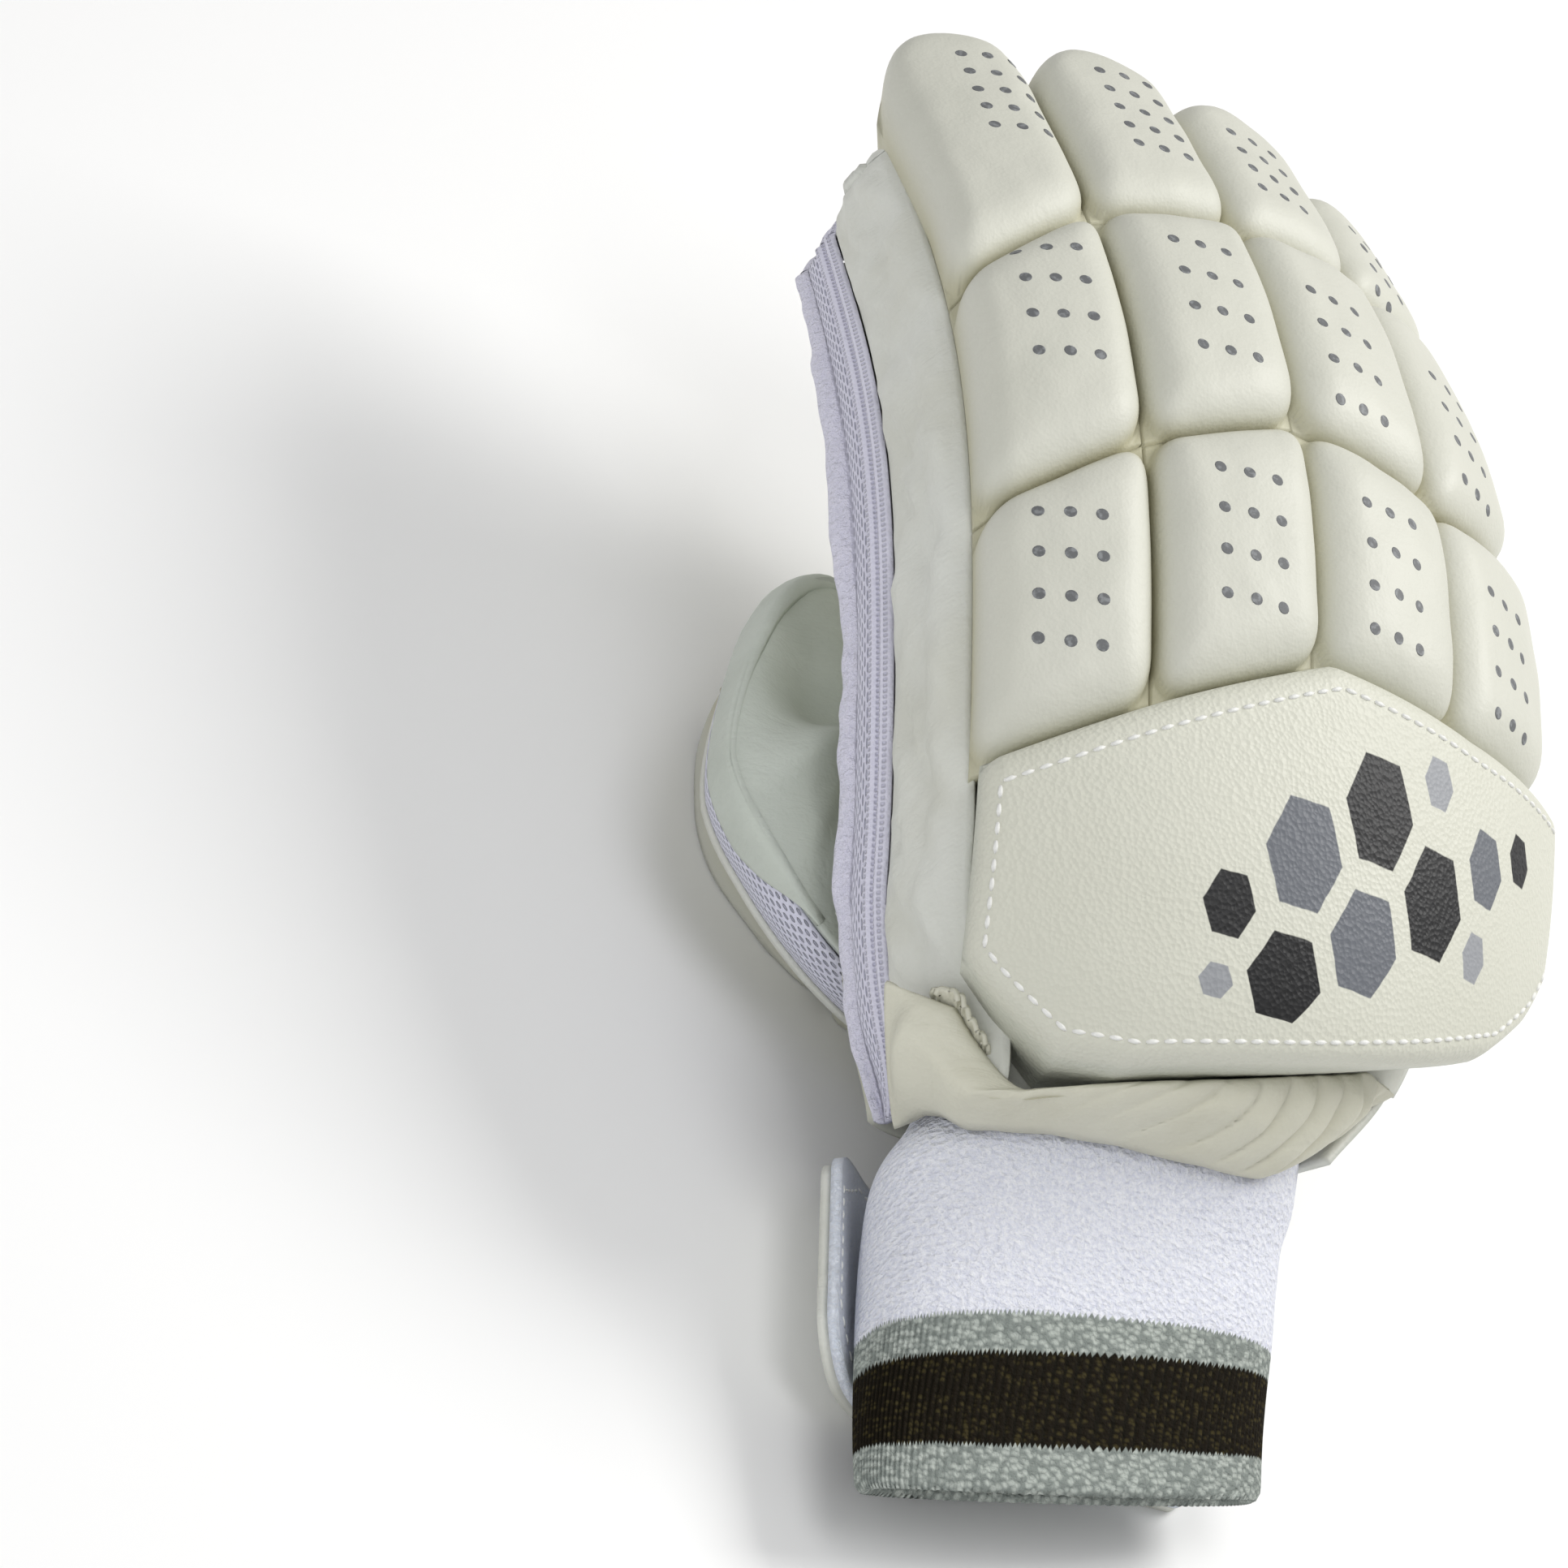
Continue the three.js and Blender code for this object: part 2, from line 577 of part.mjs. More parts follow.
function thumbOuter(a, s, inside) {
  const share = Math.max(s, foldShare);
  const column = (name) => fromTable(thumbDrop, "share", name, share);
  const p = thumbEdge(share, a);
  const side = thumbEdge(share, 1).sub(thumbEdge(share, -1)).setZ(0).normalize();
  const ahead = new THREE.Vector3(side.y, -side.x, 0);
  const inset = column("inset");
  p.z -= mix(column("left"), column("right"), (a + 1) / 2) - inside * palmLeather;
  if (inset > 0) p.addScaledVector(side, -a * inset);
  else p.addScaledVector(ahead, -inset * (1 - 0.3 * a * a));
  const v = mix(thumbHoleFrom + 0.4, thumbHoleTo - 0.4, (a + 1) / 2);
  const top = aboveBack(1, v, 0).lerp(abovePalm(1, v, 0), 0.075);
  const low = abovePalm(1, v, 0);
  const inner = new THREE.Vector3(inside * palmLeather, 0, 0);
  const half = foldShare / 2;
  if (s < half) return top.lerp(low, s / half).sub(inner);
  if (s < foldShare) return low.sub(inner).lerp(p, (s - half) / half);
  return p;
}

// How far the thumb's leather reaches at a share across it.
const thumbEnd = (a) => 1 - thumbTipRound * (1 - Math.sqrt(Math.max(0, 1 - 0.96 * a * a)));
const acrossThumb = [-1, -0.86, -0.5, 0, 0.5, 0.86, 1];
function thumbSheet(surface, rows) {
  const point = (i, j, side) => {
    const a = acrossThumb[i];
    const s = j < 3 ? (foldShare * j) / 2 : mix(foldShare, thumbEnd(a), (j - 2) / (rows - 2));
    return surface(a, s, side);
  };
  return skin(acrossThumb.length - 1, rows, point);
}
// The band between the thumb's two leathers, from one end of the fold round the tip to the other.
function thumbBand() {
  const from = foldShare;
  const steps = 9;
  const tipSteps = 8;
  const path = [];
  for (let i = 0; i < steps; i++) path.push({ a: -1, s: mix(from, thumbEnd(1), i / steps) });
  for (let i = 0; i <= tipSteps; i++) {
    const a = -Math.cos((Math.PI * i) / tipSteps);
    path.push({ a, s: thumbEnd(a) });
  }
  for (let i = steps - 1; i >= 0; i--) path.push({ a: 1, s: mix(from, thumbEnd(1), i / steps) });
  const halfWide = 32;
  const long = 150;
  const flat = path.map((p) => new THREE.Vector2(p.a * halfWide, p.s * long));
  const rows = 3;
  const point = (i, j, side) => {
    const next = flat[Math.min(flat.length - 1, i + 1)];
    const run = next.clone().sub(flat[Math.max(0, i - 1)]).normalize();
    const inward = new THREE.Vector2(run.y, -run.x);
    const bulge = gussetBulge * Math.sin((Math.PI * j) / rows);
    const p = flat[i].clone().addScaledVector(inward, (side ? 0 : gussetWall) - bulge);
    const a = p.x / halfWide;
    const s = p.y / long;
    const top = thumbInner(a, s, 1);
    const low = thumbOuter(a, s, 1);
    const gap = Math.min(0.75 / top.distanceTo(low), 0.3);
    return low.lerp(top, mix(gap, 1 - gap, j / rows));
  };
  return skin(flat.length - 1, rows, point);
}
// A pad under the thumb, pressed flat where it rests.
function thumbPad({ from, to, left, right }) {
  const n = padShares.length - 1;
  const point = (i, j, side) => {
    const a = mix(left, right, padShares[i]);
    const end = to === 1 ? thumbEnd(a) - 0.005 : to;
    const s = mix(from, end, padShares[j]);
    const p = thumbOuter(a, s, 0);
    p.z -= padSeat + 0.35;
    if (!side) return p;
    const across = Math.min(padShares[i], 1 - padShares[i]) * thumbPadWide;
    const near = Math.min(padShares[j], 1 - padShares[j]) * thumbPadLong;
    const edge = Math.min(across, near);
    p.z = Math.max(0, p.z - bevelHeight(edge, thumbPadDepth, thumbPadBevel, thumbPadRim));
    return p;
  };
  return skin(n, n, point);
}

fingers.forEach((finger, n) => {
  add(`pad_${finger.name}_knuckle`, pad(n, "guard", "knuckle"), leatherWhite, 0.5);
  add(`pad_${finger.name}_middle`, pad(n, "knuckle", "middle"), leatherWhite, 0.5);
  add(`pad_${finger.name}_tip`, pad(n, "middle", "tip"), leatherWhite, 0.5);
});
add("wrist_guard", guardBlock(), leatherWhite, 0.55);
const palmFaces = (a, v, side) => abovePalm(a, v, side ? 0 : palmLeather);
const backFaces = (a, v, side) => aboveBack(a, v, side ? 0 : -backLeather);
add("palm_leather", handSheet(palmStart, palmFaces, 12, 6, palmRight), palmCream, 0.6);
add("back_leather", handSheet(backStart, backFaces, 8, 6), leatherWhite, 0.6);

const ulnarPath = [
  ...along(-1, backStart, crotchAt, 9),
  ...trimmed(fingerOutline(fingers[0], crotchAt, "up"), false, true),
];
add("ulnar_gusset", sideStrip(ulnarPath, 0, meshShare, 3, gussetBulge), meshWhite, 0.85);
add("side_leather", sideStrip(ulnarPath, meshShare + 0.015, 1, 2, 0.6), leatherWhite, 0.6);
for (let n = 0; n < 3; n++) {
  const down = trimmed(fingerOutline(fingers[n], crotchAt, "down"), true, false);
  const up = trimmed(fingerOutline(fingers[n + 1], crotchAt, "up"), false, true);
  const name = `fourchette_${fingers[n].name}_${fingers[n + 1].name}`;
  add(name, sideStrip([...down, ...up], 0, 1, 3, 0), meshWhite, 0.85);
}
const radialPath = [
  ...trimmed(fingerOutline(fingers[3], crotchAt, "down"), true, false),
  ...along(1, crotchAt, thumbHoleTo + 1, 4).slice(1),
  { a: 1, v: thumbHoleTo + 1 },
];
add("radial_gusset", sideStrip(radialPath, 0, 1, 3, gussetBulge), meshWhite, 0.85);

add("wrist_roll", wristRoll(), leatherWhite, 0.55);
add("wrist_cuff", cuffTube(), knitWhite, 0.9);
add("strap_leather", strapLayer(0, strapLeather, 0), leatherWhite, 0.6);
add("strap_lining", strapLayer(strapLeather + seamGap, strapLining, 1.2), felt, 0.95);
add("thumb_leather", thumbSheet(thumbInner, 15), palmCream, 0.6);
add("thumb_back", thumbSheet(thumbOuter, 15), leatherWhite, 0.6);
add("thumb_gusset", thumbBand(), meshWhite, 0.85);
thumbPads.forEach((pad) => add(`thumb_pad_${pad.name}`, thumbPad(pad), leatherWhite, 0.5));

const glove = new THREE.Group();
parts.forEach((part) => glove.add(part));

// The origin goes to the middle of the glove's outline, on the floor.
const bounds = new THREE.Box3().setFromObject(glove);
const middle = bounds.getCenter(new THREE.Vector3());
parts.forEach((part) => part.geometry.translate(-middle.x, -middle.y, 0));
export default glove;
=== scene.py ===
import math
import bpy
import bmesh
from mathutils import Matrix, Vector, noise
from mathutils.bvhtree import BVHTree


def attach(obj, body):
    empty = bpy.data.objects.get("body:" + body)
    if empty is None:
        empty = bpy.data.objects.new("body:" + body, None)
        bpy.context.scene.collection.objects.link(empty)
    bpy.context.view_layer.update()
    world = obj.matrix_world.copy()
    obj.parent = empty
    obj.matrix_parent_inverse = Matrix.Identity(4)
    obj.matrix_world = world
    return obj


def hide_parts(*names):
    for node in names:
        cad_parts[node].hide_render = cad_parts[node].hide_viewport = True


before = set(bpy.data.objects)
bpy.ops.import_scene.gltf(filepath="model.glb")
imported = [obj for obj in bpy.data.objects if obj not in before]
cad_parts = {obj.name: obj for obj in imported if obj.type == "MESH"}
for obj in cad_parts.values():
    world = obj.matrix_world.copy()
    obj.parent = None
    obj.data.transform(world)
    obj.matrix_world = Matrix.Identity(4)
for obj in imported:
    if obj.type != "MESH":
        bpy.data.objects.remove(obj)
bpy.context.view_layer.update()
scene = bpy.context.scene
print("frame loaded:", len(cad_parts), "nodes")


# Rows of a table, each with its columns by name
def table(columns, rows):
    return [dict(zip(columns.split(), row)) for row in rows]


# The hand's own map, in millimetres: a runs across the hand (-1 little finger, 1 thumb side),
# v along it from the wrist seam, and up is the height over the palm or the back.
hand = {
    "palmWidth": 107, "backRadius": 91, "backHalfAngle": 36.5, "edgeHeight": 31, "palmHollow": 7,
    "leather": 1.6, "crotch": 114, "tipRound": 12, "lineZero": -40, "restLift": 8.3,
    "palmStart": 10, "backStart": 8, "shift": (1.4413, -68.7036),
}
posture = table("along slope side width height hollow", [
    (-100, 0, -27, 0.8, 0.8, 0),
    (-20, 4, -8.5, 0.78, 0.8, 0),
    (5, 21, -4.5, 0.8, 0.84, 0.1),
    (35, 31, -1, 0.93, 0.96, 0.5),
    (75, 20.5, 0, 1, 1, 1),
    (115, 11, 0, 1, 1, 1.2),
    (150, 0, 0, 0.98, 0.94, 1.2),
    (190, -5, 0, 0.95, 0.84, 1.1),
    (230, -13, 0, 0.92, 0.8, 1),
])
fingers = table("name middle half tip", [
    ("little", -0.74, 0.245, 193),
    ("ring", -0.235, 0.235, 196),
    ("middle", 0.25, 0.235, 197),
    ("index", 0.755, 0.245, 182),
])


def mix(a, b, t):
    return a + (b - a) * t


def clamp01(t):
    return min(1, max(0, t))


def ease(t):
    t = clamp01(t)
    return t * t * (3 - 2 * t)


# A soft wave without a pattern, the same on each run
def drift(x, y, z):
    return noise.noise(Vector((x, y, z)))


# A column of a table at a place between its rows, on a smooth curve or in straight lines.
def fromTable(rows, key, column, at, straight=False):
    last = len(rows) - 1
    if at <= rows[0][key]:
        return rows[0][column]
    if at >= rows[last][key]:
        return rows[last][column]
    i = next(n for n in range(last + 1) if rows[n][key] > at) - 1
    run = rows[i + 1][key] - rows[i][key]
    t = (at - rows[i][key]) / run
    if straight:
        return mix(rows[i][column], rows[i + 1][column], t)

    def slope(n):
        a, b = rows[max(0, n - 1)], rows[min(last, n + 1)]
        return (b[column] - a[column]) / (b[key] - a[key])

    bend = t * (1 - t) * ((1 - t) * slope(i) - t * slope(i + 1))
    return mix(rows[i][column], rows[i + 1][column], t * t * (3 - 2 * t)) + run * bend


firstAlong, lastAlong = -120, 260
alongs = range(firstAlong, lastAlong + 1)
lookups = {c: [fromTable(posture, "along", c, v) for v in alongs] for c in ("side", "width", "height", "hollow")}
slopes = [math.radians(fromTable(posture, "along", "slope", v)) for v in range(firstAlong, lastAlong + 1, 2)]
lineY, lineZ = [firstAlong], [0]
for slope in slopes:
    lineY.append(lineY[-1] + math.cos(slope) * 2)
    lineZ.append(lineZ[-1] + math.sin(slope) * 2)
zeroRow = (hand["lineZero"] - firstAlong) // 2
lineY = [y - lineY[zeroRow] + hand["lineZero"] for y in lineY]
lineZ = [z - lineZ[zeroRow] + hand["restLift"] for z in lineZ]


def sampled(samples, t):
    i = min(len(samples) - 2, max(0, math.floor(t)))
    return mix(samples[i], samples[i + 1], t - i)


def atAlong(column, v):
    return sampled(lookups[column], min(max(v, firstAlong), lastAlong) - firstAlong)


# From the section across the hand at v to the row's frame, still in millimetres.
def place(x, z, v):
    t = (v - firstAlong) / 2
    slope = sampled(slopes, t)
    return Vector((
        x + atAlong("side", v) + hand["shift"][0],
        sampled(lineY, t) - z * math.sin(slope) + hand["shift"][1],
        sampled(lineZ, t) + z * math.cos(slope),
    ))


def palmEdge(a, v):
    return a * hand["palmWidth"] * atAlong("width", v) / 2, hand["palmHollow"] * atAlong("hollow", v) * (1 - a * a)


def backEdge(a, v):
    half = math.radians(hand["backHalfAngle"])
    arch = hand["backRadius"] * (math.cos(half * a) - math.cos(half))
    x = hand["backRadius"] * atAlong("width", v) * math.sin(half * a)
    return x, (hand["edgeHeight"] + arch) * atAlong("height", v), math.sin(half * a), math.cos(half * a)


def abovePalm(a, v, up):
    (px, pz), (bx, bz, _, _) = palmEdge(a, v), backEdge(a, v)
    t = up / math.hypot(bx - px, bz - pz)
    return place(mix(px, bx, t), mix(pz, bz, t), v)


def aboveBack(a, v, up):
    (px, pz), (bx, bz, nx, nz) = palmEdge(a, v), backEdge(a, v)
    if up >= 0:
        return place(bx + up * nx, bz + up * nz, v)
    t = -up / math.hypot(bx - px, bz - pz)
    return place(mix(bx, px, t), mix(bz, pz, t), v)


def between(a, v, share, seam=0.35):
    (px, pz), (bx, bz, _, _) = palmEdge(a, v), backEdge(a, v)
    inset = (hand["leather"] + seam) / math.hypot(bx - px, bz - pz)
    t = mix(inset, 1 - inset, share)
    return place(mix(px, bx, t), mix(pz, bz, t), v)


def fingerEnd(finger, a):
    off = clamp01(abs(a - finger["middle"]) / finger["half"])
    return finger["tip"] - hand["tipRound"] * (1 - math.sqrt(max(0, 1 - off * off * 0.96)))


# Shader maths: a term is a socket that takes part in sums, and a finish is one material.
class Term:
    def __init__(self, finish, socket):
        self.finish, self.socket = finish, socket

    def sum(self, operation, *values):
        return self.finish.add("ShaderNodeMath", {"operation": operation}, values)

    def __add__(self, other):
        return self.sum("ADD", self, other)

    def __radd__(self, other):
        return self.sum("ADD", other, self)

    def __sub__(self, other):
        return self.sum("SUBTRACT", self, other)

    def __rsub__(self, other):
        return self.sum("SUBTRACT", other, self)

    def __mul__(self, other):
        return self.sum("MULTIPLY", self, other)

    def __rmul__(self, other):
        return self.sum("MULTIPLY", other, self)

    def __abs__(self):
        return self.sum("ABSOLUTE", self)

    def fraction(self):
        return self.sum("FRACT", self)

    def floor(self):
        return self.sum("FLOOR", self)

    def most(self, other):
        return self.sum("MAXIMUM", self, other)

    def sine(self):
        return self.sum("SINE", self)

    # 0 below low, 1 above high, smooth between them
    def step(self, low, high):
        return self.finish.add("ShaderNodeMapRange", {"interpolation_type": "SMOOTHSTEP"}, {0: self, 1: low, 2: high})


class Finish:
    def __init__(self, name, **values):
        self.material = bpy.data.materials.new(name)
        self.material.use_nodes = True
        self.tree = self.material.node_tree
        self.shader = self.tree.nodes["Principled BSDF"]
        self.point = self.add("ShaderNodeTexCoord", {}, {}, "Object")
        for key, value in values.items():
            self.shader.inputs[key.replace("_", " ")].default_value = value

    def add(self, kind, settings, sockets, out=0):
        made = self.tree.nodes.new(kind)
        for key, value in settings.items():
            setattr(made, key, value)
        pairs = sockets.items() if isinstance(sockets, dict) else enumerate(sockets)
        for key, value in pairs:
            self.set(made.inputs[key], value)
        return Term(self, made.outputs[out])

    def set(self, socket, value):
        if isinstance(value, Term):
            self.tree.links.new(value.socket, socket)
        elif hasattr(value, "__len__") and len(value) == 3 and socket.type == "RGBA":
            socket.default_value = (*value, 1)
        else:
            socket.default_value = value

    def uv(self):
        split = self.tree.nodes.new("ShaderNodeSeparateXYZ")
        self.set(split.inputs[0], self.add("ShaderNodeUVMap", {"uv_map": "UVMap"}, {}))
        return [Term(self, o) for o in split.outputs[:2]]

    def stretched(self, scale):
        return self.add("ShaderNodeMapping", {}, {"Vector": self.point, "Scale": scale})

    def noise(self, scale, detail=2.0, roughness=0.5, distortion=0.0, point=None):
        return self.add("ShaderNodeTexNoise", {}, {"Vector": point or self.point, "Scale": scale, "Detail": detail,
                        "Roughness": roughness, "Distortion": distortion})

    def cells(self, scale, point=None):
        return self.add("ShaderNodeTexVoronoi", {}, {"Vector": point or self.point, "Scale": scale})

    def blend(self, factor, a, b):
        return self.add("ShaderNodeMix", {"data_type": "RGBA"}, {0: factor, 6: a, 7: b}, 2)

    def attribute(self, name):
        return self.add("ShaderNodeAttribute", {"attribute_name": name}, {}, "Fac")

    # Height is in millimetres
    def finishWith(self, color, roughness, height=None):
        self.set(self.shader.inputs["Base Color"], color)
        self.set(self.shader.inputs["Roughness"], roughness)
        if height is not None:
            bump = self.add("ShaderNodeBump", {}, {"Distance": 0.001, "Height": height})
            self.set(self.shader.inputs["Normal"], bump)
        return self.material


# A piece that starts as a flat grid: corner(i, j) gives each corner's place in millimetres, its two
# UV values and its rim share. keep(i, j) says which cells stay. A wall under 0 turns the faces over
# first. Closed joins a grid that runs right round, and cap fills its open underside.
def gridPiece(name, columns, rows, corner, material, wall=0, keep=None, closed=False, cap=False):
    bm = bmesh.new()
    uvLayer = bm.loops.layers.uv.new("UVMap")
    rim = bm.verts.layers.float.new("rim")
    bmesh.ops.create_grid(bm, x_segments=columns, y_segments=rows, size=0.5)
    bm.verts.ensure_lookup_table()

    def cell(co):
        return math.floor((co.x + 0.5) * columns), math.floor((co.y + 0.5) * rows)

    if keep:
        gone = [f for f in bm.faces if not keep(*cell(f.calc_center_median()))]
        bmesh.ops.delete(bm, geom=gone, context="FACES")
    spots = {}
    for v in bm.verts:
        found = corner(int((v.co.x + 0.5) * columns + 0.5), int((v.co.y + 0.5) * rows + 0.5))
        spots[v] = found
        v[rim] = found[3]
    for f in bm.faces:
        for loop in f.loops:
            loop[uvLayer].uv = spots[loop.vert][1:3]
    for v, found in spots.items():
        v.co = found[0] * 0.001
    if closed:
        bmesh.ops.remove_doubles(bm, verts=bm.verts, dist=1e-6)
    if cap:
        bmesh.ops.holes_fill(bm, edges=[e for e in bm.edges if e.is_boundary], sides=0)
    if cap or closed:
        bmesh.ops.recalc_face_normals(bm, faces=bm.faces)
    if wall < 0:
        bmesh.ops.reverse_faces(bm, faces=bm.faces)
    return meshPiece(name, bm, material, abs(wall))


def meshPiece(name, bm, material, wall=0):
    mesh = bpy.data.meshes.new(name)
    bm.to_mesh(mesh)
    bm.free()
    piece = bpy.data.objects.new(name, mesh)
    scene.collection.objects.link(piece)
    mesh.polygons.foreach_set("use_smooth", [True] * len(mesh.polygons))
    if wall:
        solid = piece.modifiers.new("wall", "SOLIDIFY")
        solid.thickness = wall * 0.001
        solid.offset = -1
    mesh.materials.append(material)
    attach(piece, "root")
    return piece


def treeOf(piece):
    return BVHTree.FromObject(piece, bpy.context.evaluated_depsgraph_get())


# The length along a line up to each of its points
def lengthsAlong(points):
    run = [0]
    for p, q in zip(points, points[1:]):
        run.append(run[-1] + (q - p).length)
    return run


# Small thread beads along a line of points, each sunk a little into the surface it lies on.
def stitchRow(name, tree, lines, settings, material):
    bm = bmesh.new()
    pitch, length = settings["pitch"] * 0.001, settings["length"] * 0.001
    for line in lines:
        onto = []
        for p in line:
            found = tree.find_nearest(p * 0.001)
            if found[0] is not None:
                onto.append((found[0], found[1]))
        run = lengthsAlong([p for p, _ in onto])
        count = max(1, int(run[-1] / pitch))
        k = 0
        for n in range(count):
            at = (n + 0.5) * run[-1] / count
            while k < len(run) - 2 and run[k + 1] < at:
                k += 1
            t = (at - run[k]) / max(1e-9, run[k + 1] - run[k])
            spot = onto[k][0].lerp(onto[k + 1][0], t)
            normal = onto[k][1].lerp(onto[k + 1][1], t).normalized()
            ahead = (onto[k + 1][0] - onto[k][0]).normalized()
            side = normal.cross(ahead).normalized()
            turn = Matrix((ahead, side, normal)).transposed().to_4x4()
            size = Matrix.Diagonal((length / 2, settings["width"] * 0.0005, settings["height"] * 0.0005, 1))
            where = Matrix.Translation(spot + normal * settings["lift"] * 0.001)
            bmesh.ops.create_icosphere(bm, subdivisions=1, radius=1, matrix=where @ turn @ size)
    return meshPiece(name, bm, material)


# A printed dot where a ray meets the surface
def addDot(bm, tree, start, direction):
    spot, normal, _, _ = tree.ray_cast(start, direction)
    if spot is None:
        return
    turn = normal.to_track_quat("Z", "Y").to_matrix().to_4x4()
    where = Matrix.Translation(spot + normal * 0.00002) @ turn
    radius = dotSizes["radius"] * 0.001
    bmesh.ops.create_cone(bm, cap_ends=True, segments=14, radius1=radius, radius2=radius * 0.9, depth=0.00008,
                          matrix=where)


# Finishes
# The pads' groove colour is painted shade, for the grooves between pads where shade falls
leatherLook = {"white": (0.64, 0.64, 0.565), "groove_shade": (0.50, 0.48, 0.34), "palm": (0.62, 0.62, 0.53),
               "hand": (0.72, 0.73, 0.68), "inner": (0.60, 0.64, 0.58)}


def padFinish():
    f = Finish("pad_leather", Roughness=0.5, Specular_IOR_Level=0.35, Coat_Weight=0.05, Coat_Roughness=0.4)
    grain = f.cells(1500) * 0.5 + f.noise(900, 3)
    soft = f.noise(45, 3)
    rim = f.attribute("rim")
    # Painted shade: each pad darkens towards its rim into the groove colour
    color = f.blend(rim.step(0.0, 0.75), leatherLook["groove_shade"], leatherLook["white"])
    color = f.blend(soft.step(0.35, 0.7) * 0.3, color, (0.58, 0.585, 0.51))
    return f.finishWith(color, 0.47 + soft * 0.12, grain * 0.07 + f.noise(160, 2) * 0.25)


def leatherFinish(name, base, dark, grainScale, creases):
    f = Finish(name, Specular_IOR_Level=0.35)
    grain = f.cells(grainScale) * 0.6 + f.noise(grainScale * 0.6, 3)
    soft = f.noise(38, 4, 0.6)
    folds = f.noise(70, 4, 0.6, 0.6, f.stretched((1, 2.4, 1)))
    color = f.blend(soft.step(0.35, 0.75) * 0.6, base, dark)
    return f.finishWith(color, 0.5 + soft * 0.15, grain * 0.09 + folds * creases)


padLeather = padFinish()
handLeather = leatherFinish("hand_leather", leatherLook["hand"], (0.63, 0.63, 0.55), 1300, 0.5)
palmLeather = leatherFinish("palm_leather", leatherLook["palm"], (0.55, 0.55, 0.45), 1100, 0.9)
innerLeather = leatherFinish("inner_leather", leatherLook["inner"], (0.50, 0.54, 0.48), 1300, 0.6)
rollLeather = leatherFinish("roll_leather", (0.665, 0.655, 0.55), (0.57, 0.55, 0.43), 1300, 0.8)


def threadFinish():
    f = Finish("thread", Roughness=0.6)
    return f.finishWith(f.blend(f.noise(1200), (0.90, 0.90, 0.87), (0.78, 0.78, 0.75)), 0.6,
                        f.noise(2500) * 0.1)


def dotFinish():
    f = Finish("dot_print", Roughness=0.5)
    return f.finishWith(f.blend(f.noise(900, 3).step(0.45, 0.7), (0.13, 0.135, 0.14), (0.25, 0.26, 0.27)), 0.6,
                        f.noise(2500) * 0.05)


thread = threadFinish()
dotPrint = dotFinish()

# Pads over the fingers
padSizes = {"thickness": 18.5, "bevel": 8.0, "rim": 0.62, "outerRim": 0.42, "seat": 0.75, "gap": 0.5, "spread": 0.0016,
            "spreadFrom": 155, "crown": 1.5, "cells": 40, "wrinkle": 0.35, "tipArc": 9, "tipCorner": 3,
            "littleCorner": 9}
padLines = table("across guard knuckle middle tip", [
    (-0.93, 58, 97, 138, 208),
    (-0.47, 70, 111.5, 155, 209),
    (0.0, 81.5, 120.5, 161, 207),
    (0.49, 80.5, 118.5, 164, 205),
    (1.04, 82, 124, 171, 192),
])
padDots = {
    "knuckle": [(-0.70, 85), (-0.235, 96), (0.2, 98), (0.71, 97)],
    "middle": [(-0.67, 131.5), (-0.235, 136), (0.185, 135), (0.7, 136)],
    "tip": [(-0.61, 184), (-0.2, 184), (0.21, 182), (0.7, 178)],
}
dotSizes = {"acrossPitch": 0.077, "alongPitch": 6.6, "radius": 1.15}


# Shares along a side of a pad: two at each end for its wall, and closer ones over its bevel.
def padShares(cells, bunch=0.55):
    inner = [mix(n / (cells - 2), 0.5 - 0.5 * math.cos(math.pi * n / (cells - 2)), bunch) for n in range(cells - 1)]
    return [(0, True)] + [(s, False) for s in inner] + [(1, True)]


# 0 at the rim of a pad of that width and length, 1 inside its round bevel
def roundRise(s, t, width, length, bevel):
    ex, ey = 1 - clamp01(min(s, 1 - s) * width / bevel), 1 - clamp01(min(t, 1 - t) * length / bevel)
    edge = min(1, (ex ** 3 + ey ** 3) ** (1 / 3))
    return math.sqrt(max(0, 1 - edge * edge))


def fingerPad(column, low, high):
    left, right = padLines[column], padLines[column + 1]
    size = padSizes
    width = (hand["backRadius"] + size["thickness"]) * math.radians(hand["backHalfAngle"])
    width *= right["across"] - left["across"]
    squeeze = size["gap"] / 2 / width
    shares = padShares(size["cells"])

    def corner(i, j):
        (s, wallS), (t, wallT) = shares[i], shares[j]
        a = mix(left["across"], right["across"], mix(squeeze, 1 - squeeze, s))
        start = mix(left[low], right[low], s) + size["gap"] / 2
        end = mix(left[high], right[high], s) - size["gap"] / 2
        if high == "tip":
            side = s if column < 2 else 1 - s
            cut = size["littleCorner"] if column == 0 else size["tipCorner"]
            end -= size["tipArc"] * (2 * s - 1) ** 2 + cut * clamp01(1 - 2.6 * side) ** 2
        v = mix(start, end, t)
        spread = 1 + size["spread"] * max(0, v - size["spreadFrom"]) * clamp01(-a - 0.4)
        rise = roundRise(s, t, width, end - start, size["bevel"])
        crown = size["crown"] * (16 * s * (1 - s) * t * (1 - t)) ** 0.7
        outer = max(ease(1 - 4 * s) * (column == 0), ease(4 * s - 3) * (column == 3), ease(4 * t - 3) * (high == "tip"))
        up = size["thickness"] * mix(mix(size["rim"], size["outerRim"], outer), 0.95, rise) + crown
        up += size["wrinkle"] * drift(a * 9, v * 0.12, column * 3.1)
        if wallS or wallT:
            up = rise = 0
        return aboveBack(a * spread, v, size["seat"] + up), s, t, rise

    n = size["cells"]
    name = f"pad_{fingers[column]['name']}_{high}"
    piece = gridPiece(name + "_cover", n, n, corner, padLeather, cap=True)
    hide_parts(name)
    return piece


